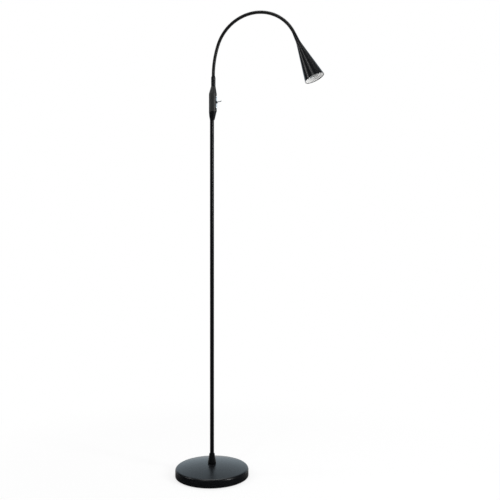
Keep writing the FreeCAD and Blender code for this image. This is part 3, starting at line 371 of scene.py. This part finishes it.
def rounded(before, corner, after, radius, steps):
    """The points of a round that eases a corner of an outline."""
    corner = Vector(corner)
    to_before = (Vector(before) - corner).normalized()
    to_after = (Vector(after) - corner).normalized()
    half = to_before.angle(to_after) / 2
    centre = corner + (to_before + to_after).normalized() * (radius / sin(half))
    start = corner + to_before * (radius / tan(half)) - centre
    end = corner + to_after * (radius / tan(half)) - centre
    return arc_points(centre, start, end, steps)


# %% Finishing helpers
def break_edges(piece, width, sharper_than=35):
    """Softens every corner sharper than an angle."""
    bevel = piece.modifiers.new("broken edges", "BEVEL")
    bevel.width = width
    bevel.segments = 2
    bevel.limit_method = "ANGLE"
    bevel.angle_limit = radians(sharper_than)
    bevel.harden_normals = True


def hand_over(piece, body, replaced):
    """Sets the piece on its body and hides the CAD node that it stands for."""
    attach(piece, body)
    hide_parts(replaced)
    print(piece.name, "faces:", len(piece.data.polygons))


def finish_piece(piece, slot, body, replaced):
    """Gives a piece its finish and its body, and lets it stand for a CAD node."""
    piece.data.materials.clear()
    piece.data.materials.append(FINISH[slot])
    hand_over(piece, body, replaced)


# %% [markdown]
# ## The pole
# Two steel tubes screw together a third of the way up, and the seam is the only mark on the
# pole. Each tube is turned with its wall, and its end corners are broken, so the seam shows as
# a fine dark groove between two thin highlights.

# %% Pole tubes
POLE_BORE = 0.0055
TUBE_EDGE = 0.0003


def tube_outline(radius, bore, low, high):
    """The outline of a straight tube."""
    return [(radius, low), (radius, high), (bore, high), (bore, low)]


for name in ("pole_lower", "pole_upper"):
    low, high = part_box(name)
    tube = spun(name + "_tube", tube_outline(high.x, POLE_BORE, low.z, high.z), sides=64)
    break_edges(tube, TUBE_EDGE)
    finish_piece(tube, "satin_black", "stem", name)

# %% [markdown]
# ## The base
# The cover is one spun steel dome with a deep straight rim. Seen from the side it reads as a
# crown, a soft shoulder and an upright wall. The crown is one shallow arc of a circle, so it is
# worked out from its rise. The inner face is the outer one, one wall further in, so the cover is
# a real shell with an edge that can be broken.

# %% Base cover
COVER_WALL = 0.0012
CROWN_RISE = 0.0135
SHOULDER = 0.008
SHOULDER_REACH = 1.4
THREAD_HOLE = 0.00405
SPUN_EDGE = 0.0004


def crown_height(radius, edge_radius, top):
    """Height of the crown's arc at a radius from the middle."""
    ball = (edge_radius ** 2 + CROWN_RISE ** 2) / (2 * CROWN_RISE)
    return top - ball + sqrt(ball ** 2 - radius ** 2)


def dome_side(edge_radius, low, top, shoulder):
    """Outline of one face of the cover, from its lower edge up and in to the stud's hole."""
    foot = (edge_radius, low)
    corner = (edge_radius, crown_height(edge_radius, edge_radius, top))
    in_from_edge = edge_radius - shoulder * SHOULDER_REACH
    turn_in = (in_from_edge, crown_height(in_from_edge, edge_radius, top))
    points = [foot] + rounded(foot, corner, turn_in, shoulder, steps=12)
    steps = 24
    reach = in_from_edge - THREAD_HOLE
    for step in range(steps + 1):
        radius = in_from_edge - reach * step / steps
        points.append((radius, crown_height(radius, edge_radius, top)))
    return points


low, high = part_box("base_cover")
outer_face = dome_side(high.x, low.z, high.z, SHOULDER)
inner_face = dome_side(high.x - COVER_WALL, low.z, high.z - COVER_WALL, SHOULDER - COVER_WALL)
cover = spun("base_dome", outer_face + inner_face[::-1], sides=192)
break_edges(cover, SPUN_EDGE)
finish_piece(cover, "satin_black", "stem", "base_cover")

# %% [markdown]
# ## The ferrule
# A turned sleeve grips the foot of the gooseneck. It stands on the housing's upper cap, a few
# millimetres off the pole's axis, and its tip narrows to the sleeve of the gooseneck. The
# housing, its caps and the switch already have their shape from the CAD, so only this is turned.

# %% Ferrule
FERRULE_TIP_RADIUS = 0.0054
FERRULE_GRIP_TOP = 1.2520
SLEEVE_HOLE = 0.00515
NECK_FOOT = 1.2280

low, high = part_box("neck_ferrule")
ferrule_axis = ((low.x + high.x) / 2, 0.0)
ferrule_radius = (high.y - low.y) / 2
ferrule = spun("ferrule_sleeve", [
    (THREAD_HOLE, low.z), (ferrule_radius, low.z), (ferrule_radius, FERRULE_GRIP_TOP),
    (FERRULE_TIP_RADIUS, high.z), (SLEEVE_HOLE, high.z), (SLEEVE_HOLE, NECK_FOOT),
    (THREAD_HOLE, NECK_FOOT)], sides=64, axis_at=ferrule_axis)
break_edges(ferrule, TUBE_EDGE, sharper_than=12)
finish_piece(ferrule, "satin_black", "stem", "neck_ferrule")

# %% [markdown]
# ## The gooseneck's path
# The neck leaves the ferrule upright, leans into a long gentle arc, and then bows over in a
# tighter one. Both arcs are cut into links, with a joint between each two. The path is kept as
# a function of the distance along it, so any stretch of it can be drawn.

# %% Path of the gooseneck
RISE_RADIUS, RISE_TURN, RISE_LINKS = 0.2916, radians(18.9), 2
BOW_RADIUS, BOW_TURN, BOW_LINKS = 0.1322, radians(137.1), 6
NOTHING_LEFT = 1e-9


def heading_vector(heading):
    """The direction that leans from up towards +X by an angle."""
    return Vector((sin(heading), 0, cos(heading)))


first_joint = Vector(joints["low_bend"]["pos_m"])
stub_length = first_joint.z - NECK_FOOT
stretches = [(stub_length, 0.0)]
stretches += [(RISE_RADIUS * RISE_TURN / RISE_LINKS, RISE_TURN / RISE_LINKS)] * RISE_LINKS
stretches += [(BOW_RADIUS * BOW_TURN / BOW_LINKS, BOW_TURN / BOW_LINKS)] * BOW_LINKS


def neck_point(distance):
    """The middle of the gooseneck at a distance from its foot, and its heading there."""
    point = first_joint - Vector((0, 0, stub_length))
    heading = 0.0
    for length, turn in stretches:
        part = min(distance, length)
        if turn:
            radius = length / turn
            swing = turn * part / length
            centre = point + heading_vector(heading + pi / 2) * radius
            point = centre - heading_vector(heading + swing + pi / 2) * radius
            heading += swing
        else:
            point = point + heading_vector(heading) * part
        distance -= part
        if distance <= NOTHING_LEFT:
            break
    return point, heading


neck_length = sum(length for length, turn in stretches)
shade_top, shade_heading = neck_point(neck_length)
print("gooseneck length", round(neck_length, 4),
      "ends at", [round(value, 4) for value in shade_top])

# %% [markdown]
# ## The gooseneck's sleeve
# Under its soft jacket the neck is a spiral of steel wire, and the jacket shows that spiral as
# a very shallow screw-like ripple. A Geometry Nodes tree sweeps a circle along the path and then
# presses each point in by a wave that depends on how far along and how far round it is. Radius,
# pitch, ripple and start are inputs, so neighbouring lengths carry on the same spiral.


# %% Sleeve tree
NECK_RADIUS = 0.0051
NECK_SIDES = 32
PITCH = 0.003
RIPPLE = 0.00006


def add_input(tree, label, kind, value=None):
    """A named input of a Geometry Nodes tree; gives its identifier."""
    socket = tree.interface.new_socket(label, in_out="INPUT", socket_type="NodeSocket" + kind)
    if value is not None:
        socket.default_value = value
    return socket.identifier


def sleeve_tree():
    """Sweeps a circle along a curve and gives its skin a spiral dent, two ripples deep."""
    tree = bpy.data.node_groups.new("Rippled sleeve", "GeometryNodeTree")
    add_input(tree, "Path", "Geometry")
    inputs = {label: add_input(tree, label, "Float", value) for label, value in (
        ("Radius", NECK_RADIUS), ("Pitch", PITCH), ("Ripple", RIPPLE), ("Start", 0.0))}
    inputs["Sides"] = add_input(tree, "Sides", "Int", NECK_SIDES)
    inputs["Finish"] = add_input(tree, "Finish", "Material")
    tree.interface.new_socket("Sleeve", in_out="OUTPUT", socket_type="NodeSocketGeometry")
    given = tree.nodes.new("NodeGroupInput")
    along = tree.nodes.new("GeometryNodeSplineParameter")
    tangent = tree.nodes.new("GeometryNodeInputTangent")
    place = tree.nodes.new("GeometryNodeInputPosition")
    kept = tree.nodes.new("GeometryNodeCaptureAttribute")
    kept.domain = "POINT"
    for label, kind in (("Length", "FLOAT"), ("Tangent", "VECTOR"), ("Middle", "VECTOR")):
        kept.capture_items.new(kind, label)
    tree.links.new(given.outputs["Path"], kept.inputs["Geometry"])
    tree.links.new(along.outputs["Length"], kept.inputs["Length"])
    tree.links.new(tangent.outputs["Tangent"], kept.inputs["Tangent"])
    tree.links.new(place.outputs["Position"], kept.inputs["Middle"])
    circle = add_node(tree, "GeometryNodeCurvePrimitiveCircle", None, {
        "Resolution": given.outputs["Sides"], "Radius": given.outputs["Radius"]})
    swept = add_node(tree, "GeometryNodeCurveToMesh", {"Fill Caps": True}, {
        "Curve": kept.outputs["Geometry"], "Profile Curve": circle.outputs["Curve"]})
    out = vector_node(tree, "SUBTRACT", place.outputs["Position"], kept.outputs["Middle"])
    out = vector_node(tree, "NORMALIZE", out)
    across = vector_node(tree, "CROSS_PRODUCT", kept.outputs["Tangent"], (0, 1, 0))
    angle = math_node(tree, "ARCTAN2", vector_node(tree, "DOT_PRODUCT", out, (0, 1, 0), "Value"),
                      vector_node(tree, "DOT_PRODUCT", out, across, "Value"))
    travelled = math_node(tree, "ADD", kept.outputs["Length"], given.outputs["Start"])
    turns = math_node(tree, "DIVIDE", travelled, given.outputs["Pitch"])
    phase = math_node(tree, "ADD", math_node(tree, "MULTIPLY", turns, tau), angle)
    wave = math_node(tree, "SUBTRACT", math_node(tree, "COSINE", phase), 1.0)
    dent = math_node(tree, "MULTIPLY", wave, given.outputs["Ripple"])
    offset = add_node(tree, "ShaderNodeVectorMath", operation="SCALE",
                      links={0: out, "Scale": dent})
    moved = add_node(tree, "GeometryNodeSetPosition", None, {
        "Geometry": swept.outputs["Mesh"], "Offset": offset.outputs["Vector"]})
    real = add_node(tree, "GeometryNodeRealizeInstances", None, {
        "Geometry": moved.outputs["Geometry"]})
    dressed = add_node(tree, "GeometryNodeSetMaterial", None, {
        "Geometry": real.outputs["Geometry"], "Material": given.outputs["Finish"]})
    add_node(tree, "NodeGroupOutput", None, {"Sleeve": dressed.outputs["Geometry"]})
    return tree, inputs


# %% Bake helper
def bake(piece, tree, inputs, values):
    """Runs a tree on a piece with its own input values, and keeps the result as a plain mesh."""
    modifier = piece.modifiers.new(tree.name, "NODES")
    modifier.node_group = tree
    for label, value in values.items():
        modifier[inputs[label]] = value
    graph = bpy.context.evaluated_depsgraph_get()
    mesh = bpy.data.meshes.new_from_object(piece.evaluated_get(graph), depsgraph=graph)
    made = bpy.data.objects.new(piece.name + "_made", mesh)
    bpy.context.scene.collection.objects.link(made)
    name = piece.name
    bpy.data.objects.remove(piece)
    made.name = name
    mesh.name = name
    return made


SLEEVE, SLEEVE_INPUTS = sleeve_tree()
print("sleeve inputs:", list(SLEEVE_INPUTS))

# %% [markdown]
# ## Lengths that turn
# The neck is nine lengths on eight joints. Each length rides on its own body and stops a little
# short of the joint, and a ball as thick as the sleeve sits on the joint between them. A ball
# looks the same from everywhere, so the sleeve stays closed at every angle, and the short ends
# leave the room that the inner side of a bend needs.

# %% Length and ball helpers
STEP = 0.0005
END_ROOM = 0.0011
NECK_BODIES = ["stem"] + [f"neck_{number}" for number in range(2, 9)] + ["shade"]
NECK_JOINTS = ["low_bend", "low_side", "low_bend_2", "low_bend_3",
               "high_bend", "high_side", "high_bend_2", "high_bend_3"]


def path_curve(name, start, end):
    """A curve along the gooseneck's path, between two distances from its foot."""
    count = ceil((end - start) / STEP)
    curve = bpy.data.curves.new("neck_path", "CURVE")
    curve.dimensions = "3D"
    spline = curve.splines.new("POLY")
    spline.points.add(count)
    for step in range(count + 1):
        point, heading = neck_point(start + (end - start) * step / count)
        spline.points[step].co = (*point, 1.0)
    path = bpy.data.objects.new(name, curve)
    bpy.context.scene.collection.objects.link(path)
    return path


def add_ball(sleeve, joint_at, heading):
    """Adds a ball on a joint, with its poles along the neck, to the length below the joint."""
    placed = Matrix.Translation(joint_at) @ Matrix.Rotation(heading, 4, "Y")
    ball = bmesh.new()
    ball.from_mesh(sleeve.data)
    bmesh.ops.create_uvsphere(ball, u_segments=NECK_SIDES, v_segments=NECK_SIDES // 2,
                              radius=NECK_RADIUS + RIPPLE / 2, matrix=placed)
    ball.to_mesh(sleeve.data)
    ball.free()


# %% Turning lengths
low_end = 0.0
for number, body in enumerate(NECK_BODIES):
    high_end = low_end + stretches[number][0]
    is_last = number == len(NECK_JOINTS)
    start = low_end + (END_ROOM if number else 0.0)
    end = high_end - (0.0 if is_last else END_ROOM)
    path = path_curve(f"neck_sleeve_{number + 1}", start, end)
    sleeve = bake(path, SLEEVE, SLEEVE_INPUTS, {
        "Radius": NECK_RADIUS, "Pitch": PITCH, "Ripple": RIPPLE, "Start": start,
        "Sides": NECK_SIDES, "Finish": FINISH["neck_black"]})
    if not is_last:
        point, heading = neck_point(high_end)
        joint_at = Vector(joints[NECK_JOINTS[number]]["pos_m"])
        add_ball(sleeve, joint_at, heading)
        off_joint = (point - joint_at).length
        print("ball", number + 1, "is off its joint by mm:", round(off_joint * 1000, 3))
    sleeve.data.shade_smooth()
    sleeve.data.set_sharp_from_angle(angle=radians(50))
    hand_over(sleeve, body, f"neck_tube_{number + 1}")
    low_end = high_end

# %% [markdown]
# ## The shade
# The shade is a slim cone that flares from the neck. It is turned about its own axis, which the
# gooseneck's end gives, and then set in place. Outside it is satin black; inside it is enamelled
# white. The black is carried round the rim and just over its lip as painted shade: a fine dark
# ring that stands for the shade on the inner wall next to the rim.

# %% Shade
SHADE_LENGTH = 0.152
SHADE_BORE = 0.0042
SHADE_NECK_LENGTH = 0.028
SHADE_NECK_RADIUS = 0.0054
WAIST_RADIUS = 0.00655
MOUTH_RADIUS = 0.031
SHADE_WALL = 0.0012
WEB_DEPTH = 0.046
WAIST_ROUNDING = 0.110
PAINTED_SHADE_LIP = 0.0018
WEB_MARGIN = 0.001
SHADE_PLACE = Matrix.Translation(shade_top) @ Matrix.Rotation(shade_heading, 4, "Y")


def shade_radius(depth):
    """Outer radius of the cone at a depth below the shade's top."""
    share = (depth - SHADE_NECK_LENGTH) / (SHADE_LENGTH - SHADE_NECK_LENGTH)
    return WAIST_RADIUS + share * (MOUTH_RADIUS - WAIST_RADIUS)


def put_in_shade(piece):
    """Sets a piece that was turned about Z in its place on the shade's axis."""
    piece.data.transform(SHADE_PLACE)


def paint_inside(piece, slot):
    """Gives the faces inside the cone a second finish, stopping short of the lip, where the black stays as painted
    shade; done before it is placed.
    """
    piece.data.materials.append(FINISH[slot])
    for face in piece.data.polygons:
        is_inward = Vector((face.center.x, face.center.y, 0)).dot(face.normal) < 0
        # Faces within the lip band next to the mouth keep the black: a painted shade ring.
        is_between = WEB_DEPTH - WEB_MARGIN < face.center.z < SHADE_LENGTH - PAINTED_SHADE_LIP
        face.material_index = 1 if is_inward and is_between else 0


waist = rounded((SHADE_NECK_RADIUS, 0), (WAIST_RADIUS, SHADE_NECK_LENGTH),
                (MOUTH_RADIUS, SHADE_LENGTH), WAIST_ROUNDING, steps=12)
shade = spun("shade_cone", [(SHADE_BORE, 0), (SHADE_NECK_RADIUS, 0)] + waist + [
    (MOUTH_RADIUS, SHADE_LENGTH), (MOUTH_RADIUS - SHADE_WALL, SHADE_LENGTH),
    # A ring on the inner wall where the black painted-shade band inside the rim ends.
    (shade_radius(SHADE_LENGTH - PAINTED_SHADE_LIP) - SHADE_WALL, SHADE_LENGTH - PAINTED_SHADE_LIP),
    (shade_radius(WEB_DEPTH) - SHADE_WALL, WEB_DEPTH), (SHADE_BORE, WEB_DEPTH)], sides=128)
shade.data.materials.append(FINISH["satin_black"])
paint_inside(shade, "shade_white")
put_in_shade(shade)
break_edges(shade, SPUN_EDGE, sharper_than=25)
hand_over(shade, "shade", "shade_shell")

# %% [markdown]
# ## The reflector bulb
# A small halogen reflector sits deep in the mouth: a pressed glass bowl with a mirror inside,
# broken into rings of flat facets that even out the beam. The facets are real geometry. The bowl
# is turned with many sides, so that its outside stays round, and the points of its inside are
# then drawn in to straight chords, four sides to a facet, with sharp edges between the facets.

# %% Bulb reflector
BULB_FACE_DEPTH = 0.1397
BULB_LENGTH = 0.047
BULB_BASE_LENGTH = 0.012
BULB_RADIUS = 0.025
BULB_GLASS = 0.0015
BULB_RIM = 0.003
BOWL_ROUNDING = 0.044
BOWL_BACK_RADIUS = 0.01075
NECK_HOLE_RADIUS = 0.006
BOWL_RINGS = 7
FACETS = 28
SIDES_PER_FACET = 4


def bowl_curve(start, end, radius, steps):
    """Points of the bowl's arc from its back to its rim, bulging away from the axis."""
    start, end = Vector(start), Vector(end)
    middle = (start + end) / 2
    along = end - start
    inward = Vector((-along.y, along.x)).normalized()
    centre = middle + inward * sqrt(radius ** 2 - (along.length / 2) ** 2)
    return arc_points(centre, start - centre, end - centre, steps)


bowl_back = BULB_FACE_DEPTH - BULB_LENGTH + BULB_BASE_LENGTH
rim_back = BULB_FACE_DEPTH - BULB_RIM
outside = bowl_curve((BOWL_BACK_RADIUS, bowl_back), (BULB_RADIUS, rim_back),
                     BOWL_ROUNDING, steps=14)
inside = bowl_curve((BOWL_BACK_RADIUS - BULB_GLASS, bowl_back + BULB_GLASS),
                    (BULB_RADIUS - BULB_GLASS, rim_back),
                    BOWL_ROUNDING - BULB_GLASS, steps=BOWL_RINGS)
sides = FACETS * SIDES_PER_FACET
outline = ([(NECK_HOLE_RADIUS, bowl_back)] + outside + [
    (BULB_RADIUS, BULB_FACE_DEPTH), (BULB_RADIUS - BULB_GLASS, BULB_FACE_DEPTH)]
    + inside[::-1] + [(NECK_HOLE_RADIUS, bowl_back + BULB_GLASS)])
reflector = spun("bulb_bowl", outline, sides=sides)
first_inner = len(outline) - len(inside)
for vertex in reflector.data.vertices:
    ring, step = divmod(vertex.index, sides)
    if first_inner <= ring < len(outline) - 1:
        from_facet_middle = (step % SIDES_PER_FACET / SIDES_PER_FACET - 0.5) * tau / FACETS
        chord = cos(pi / FACETS) / cos(from_facet_middle)
        vertex.co.x *= chord
        vertex.co.y *= chord
reflector.data.set_sharp_from_angle(angle=radians(7))
put_in_shade(reflector)
finish_piece(reflector, "bulb_mirror", "bulb", "bulb_reflector")

# %% [markdown]
# ## Screws
# All the screws are the same kind: a low domed head with a cross recess. One is modelled, and a
# Geometry Nodes tree sets a copy on each point of a small mesh, turned the way that the screw
# goes in. The same tree serves the two screws of the switch plate and the four under the base.
# The head's outline and recess are shares of its radius and height, so both sizes look alike.


# %% Screw tree
def screw_tree():
    """Sets a copy of a screw on each point."""
    tree = bpy.data.node_groups.new("Screws on points", "GeometryNodeTree")
    add_input(tree, "Points", "Geometry")
    inputs = {label: add_input(tree, label, kind) for label, kind in (
        ("Screw", "Object"), ("Turn", "Vector"), ("Finish", "Material"))}
    tree.interface.new_socket("Screws", in_out="OUTPUT", socket_type="NodeSocketGeometry")
    given = tree.nodes.new("NodeGroupInput")
    master = add_node(tree, "GeometryNodeObjectInfo", None, {"Object": given.outputs["Screw"]})
    placed = add_node(tree, "GeometryNodeInstanceOnPoints", None, {
        "Points": given.outputs["Points"], "Instance": master.outputs["Geometry"],
        "Rotation": given.outputs["Turn"]})
    real = add_node(tree, "GeometryNodeRealizeInstances", None, {
        "Geometry": placed.outputs["Instances"]})
    dressed = add_node(tree, "GeometryNodeSetMaterial", None, {
        "Geometry": real.outputs["Geometry"], "Material": given.outputs["Finish"]})
    add_node(tree, "NodeGroupOutput", None, {"Screws": dressed.outputs["Geometry"]})
    return tree, inputs


SCREWS = screw_tree()
print("screw inputs:", list(SCREWS[1]))

# %% Screw to copy
SCREW_SIDES = 48
HEAD_PROFILE = ((1.0, 0.0), (1.0, 0.55), (0.93, 0.80), (0.78, 1.0))
RECESS_REACH = 0.56
RECESS_TAPER = 0.8
RECESS_FLOOR = 0.35
CROSS_WAIST = 0.30
CROSS_SHARPNESS = 5


def cross_shape(angle):
    """Reach of a cross recess at an angle, from its waist to 1."""
    return CROSS_WAIST + (1 - CROSS_WAIST) * abs(cos(2 * angle)) ** CROSS_SHARPNESS


def screw_master(head_radius, head_height, shank_radius, shank_length):
    """A screw along Z with its seat at the origin and its head up."""
    recess = head_radius * RECESS_REACH
    recess_floor = head_height * RECESS_FLOOR
    rings = [(shank_radius, -shank_length, False), (shank_radius, 0, False)]
    rings += [(head_radius * across, head_height * up, False) for across, up in HEAD_PROFILE]
    rings += [(recess, head_height, True), (recess * RECESS_TAPER, recess_floor, True)]
    shape = bmesh.new()
    loops = []
    for radius, height, is_cross in rings:
        loop = []
        for step in range(SCREW_SIDES):
            angle = tau * step / SCREW_SIDES
            reach = radius * cross_shape(angle) if is_cross else radius
            loop.append(shape.verts.new((reach * cos(angle), reach * sin(angle), height)))
        loops.append(loop)
    for loop, following in zip(loops, loops[1:]):
        for step in range(SCREW_SIDES):
            after = (step + 1) % SCREW_SIDES
            shape.faces.new((loop[step], loop[after], following[after], following[step]))
    for loop, height in ((loops[0], -shank_length), (loops[-1], recess_floor)):
        pole = shape.verts.new((0, 0, height))
        for step in range(SCREW_SIDES):
            shape.faces.new((loop[step], loop[(step + 1) % SCREW_SIDES], pole))
    bmesh.ops.recalc_face_normals(shape, faces=shape.faces)
    return from_bmesh("screw_master", shape)


def set_screws(name, points, turn, sizes, slot, replaced):
    """Sets screws of one size on the points, and lets them stand for their CAD node."""
    master = screw_master(**sizes)
    mesh = bpy.data.meshes.new(name)
    mesh.from_pydata(points, [], [])
    spots = bpy.data.objects.new(name, mesh)
    bpy.context.scene.collection.objects.link(spots)
    screws = bake(spots, *SCREWS, {"Screw": master, "Turn": turn, "Finish": FINISH[slot]})
    bpy.data.objects.remove(master)
    screws.data.shade_smooth()
    screws.data.set_sharp_from_angle(angle=radians(35))
    hand_over(screws, "stem", replaced)


# %% Screws in place
PLATE_SCREW = {"head_radius": 0.0019, "head_height": 0.0011,
               "shank_radius": 0.0010, "shank_length": 0.0045}
BASE_SCREW = {"head_radius": 0.00375, "head_height": 0.0014,
              "shank_radius": 0.0020, "shank_length": 0.0090}
PLATE_SCREW_HEIGHTS = (1.159, 1.190)
BASE_SCREW_RING = 0.080

plate_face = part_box("switch_plate")[1].x
set_screws("plate_screw_pair", [(plate_face, 0, height) for height in PLATE_SCREW_HEIGHTS],
           (0, pi / 2, 0), PLATE_SCREW, "switch_chrome", "plate_screws")
plate_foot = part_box("base_plate")[0].z
reach = BASE_SCREW_RING / sqrt(2)
set_screws("base_screw_ring", [(x * reach, y * reach, plate_foot)
                               for x in (-1, 1) for y in (-1, 1)],
           (pi, 0, 0), BASE_SCREW, "plated_steel", "base_screws")

# %% [markdown]
# ## Backdrop
# The lamp stands on a white sweep. For rays from the camera, and for those that go through glass,
# the world is plain white. For reflections it is a cool white behind the lamp, and falls off to a
# dim room in front of it, as in a studio: that draws the bright far edge of the base and keeps
# its wall dark. The light that it gives to matt surfaces is a third value, set by itself.

# %% World
FRONT_GREY = 0.03
DIFFUSE_LEVEL = 0.40
DIM_FROM, WHITE_FROM = 0.55, 0.90
BACKDROP_WHITE = (0.76, 0.90, 1.0)


def set_world():
    """A white backdrop behind the lamp that dims towards the front of the room."""
    world = bpy.data.worlds.new("studio")
    bpy.context.scene.world = world
    world.use_nodes = True
    tree = world.node_tree
    tree.nodes.clear()
    place = add_node(tree, "ShaderNodeTexCoord")
    level_part = vector_node(tree, "MULTIPLY", place.outputs["Generated"], (1, 1, 0))
    bearing = vector_node(tree, "NORMALIZE", level_part)
    facing = vector_node(tree, "DOT_PRODUCT", bearing, look, "Value")
    spread = add_node(tree, "ShaderNodeMapRange", {
        "From Min": DIM_FROM, "From Max": WHITE_FROM, "To Min": FRONT_GREY, "To Max": 1.0},
        {"Value": facing}, interpolation_type="SMOOTHSTEP")
    path = add_node(tree, "ShaderNodeLightPath")
    direct = math_node(tree, "MAXIMUM", path.outputs["Is Camera Ray"],
                       path.outputs["Is Transmission Ray"])
    glossy = add_node(tree, "ShaderNodeMix", {"A": DIFFUSE_LEVEL}, {
        "Factor": path.outputs["Is Glossy Ray"], "B": spread.outputs["Result"]})
    level = add_node(tree, "ShaderNodeMix", {"B": 1.0}, {
        "Factor": direct, "A": glossy.outputs["Result"]})
    tint = mix_colours(tree, path.outputs["Is Glossy Ray"], (1, 1, 1), BACKDROP_WHITE)
    background = add_node(tree, "ShaderNodeBackground", None, {
        "Color": tint, "Strength": level.outputs["Result"]})
    add_node(tree, "ShaderNodeOutputWorld", None, {"Surface": background.outputs["Background"]})


set_world()
print("world set; front grey", FRONT_GREY)

# %% [markdown]
# ## Floor
# The floor has to look as white as the backdrop and still carry the lamp's soft shadow. So it is
# mostly white emission to the camera, and near the lamp a share of its real, shaded paper shows
# through. In reflections it dims towards the front, as the backdrop does.

# %% Floor
FLOOR_REACH = 12.0
FLOOR_SIDES = 64
SHADOW_SHARE = 0.30
SHADOW_NEAR, SHADOW_FAR = 0.35, 1.1
DIM_FRONT, WHITE_BACK = -0.1, 0.35


def floor_material():
    """White to the camera, with part of its real shading kept near the lamp for the shadow."""
    material = bpy.data.materials.new("studio_floor")
    material.use_nodes = True
    tree = material.node_tree
    tree.nodes.clear()
    place = add_node(tree, "ShaderNodeTexCoord")
    cloud = add_node(tree, "ShaderNodeTexNoise", {"Scale": 3.0, "Detail": 2.0},
                     {"Vector": place.outputs["Object"]})
    paper = mix_colours(tree, cloud.outputs["Fac"], (0.93, 0.93, 0.93), (0.95, 0.95, 0.95))
    matt = add_node(tree, "ShaderNodeBsdfDiffuse", None, {"Color": paper})
    path = add_node(tree, "ShaderNodeLightPath")
    reach = vector_node(tree, "LENGTH", place.outputs["Object"], result="Value")
    to_camera = add_node(tree, "ShaderNodeMapRange", {
        "From Min": SHADOW_NEAR, "From Max": SHADOW_FAR,
        "To Min": 1.0 - SHADOW_SHARE, "To Max": 1.0},
        {"Value": reach}, interpolation_type="SMOOTHSTEP")
    back = vector_node(tree, "DOT_PRODUCT", place.outputs["Object"], look, "Value")
    to_gloss = add_node(tree, "ShaderNodeMapRange", {
        "From Min": DIM_FRONT, "From Max": WHITE_BACK, "To Min": FRONT_GREY, "To Max": 1.0},
        {"Value": back}, interpolation_type="SMOOTHSTEP")
    level = add_node(tree, "ShaderNodeMix", {"A": 1.0}, {
        "Factor": path.outputs["Is Glossy Ray"], "B": to_gloss.outputs["Result"]})
    white = add_node(tree, "ShaderNodeEmission", None, {"Strength": level.outputs["Result"]})
    seen = math_node(tree, "MULTIPLY", path.outputs["Is Camera Ray"], to_camera.outputs["Result"])
    mirrored = math_node(tree, "MAXIMUM", path.outputs["Is Glossy Ray"],
                         path.outputs["Is Transmission Ray"])
    share = math_node(tree, "MAXIMUM", seen, mirrored)
    mixed = add_node(tree, "ShaderNodeMixShader", None, {
        0: share, 1: matt.outputs["BSDF"], 2: white.outputs["Emission"]})
    add_node(tree, "ShaderNodeOutputMaterial", None, {"Surface": mixed.outputs["Shader"]})
    return material


floor_mesh = bpy.data.meshes.new("studio_floor")
angles = [tau * step / FLOOR_SIDES for step in range(FLOOR_SIDES)]
corners = [(FLOOR_REACH * cos(angle), FLOOR_REACH * sin(angle), 0) for angle in angles]
floor_mesh.from_pydata(corners, [], [list(range(FLOOR_SIDES))])
floor_mesh.materials.append(floor_material())
floor = bpy.data.objects.new("studio_floor", floor_mesh)
bpy.context.scene.collection.objects.link(floor)
print("floor reach", FLOOR_REACH)

# %% [markdown]
# ## Lamps
# Black paint shows almost only what it mirrors, so the lamps are placed for their reflections.
# Tall narrow ones to the left, high in front and to the right draw the pale stripes down the pole
# and the shade, and one large box overhead lights what looks up and casts the soft shadow.


# %% Lamps
def softbox(name, place, aim, size, power):
    """A rectangular soft lamp that faces a point."""
    data = bpy.data.lights.new(name, "AREA")
    data.shape = "RECTANGLE"
    data.size, data.size_y = size
    data.energy = power
    lamp = bpy.data.objects.new(name, data)
    lamp.location = place
    lamp.rotation_euler = (Vector(aim) - Vector(place)).to_track_quat("-Z", "Y").to_euler()
    bpy.context.scene.collection.objects.link(lamp)


def studio_point(right, back, height):
    """A point given from the lamp as the camera sees it: right, away from the camera, and up."""
    return to_right * right + look * back + Vector((0, 0, height))


softbox("left_strip", studio_point(right=-2.4, back=-0.18, height=2.25),
        aim=(0.2, 0, 1.2), size=(0.34, 1.1), power=12)
softbox("high_front_strip", studio_point(right=-1.08, back=-2.3, height=3.05),
        aim=(0.2, 0, 1.2), size=(0.34, 1.3), power=13)
softbox("right_strip", studio_point(right=2.25, back=-1.3, height=1.55),
        aim=(0.1, 0, 1.1), size=(0.35, 1.2), power=30)
softbox("top_box", studio_point(right=0.2, back=0.4, height=3.2),
        aim=(0.1, 0, 0.2), size=(2.2, 2.2), power=44)
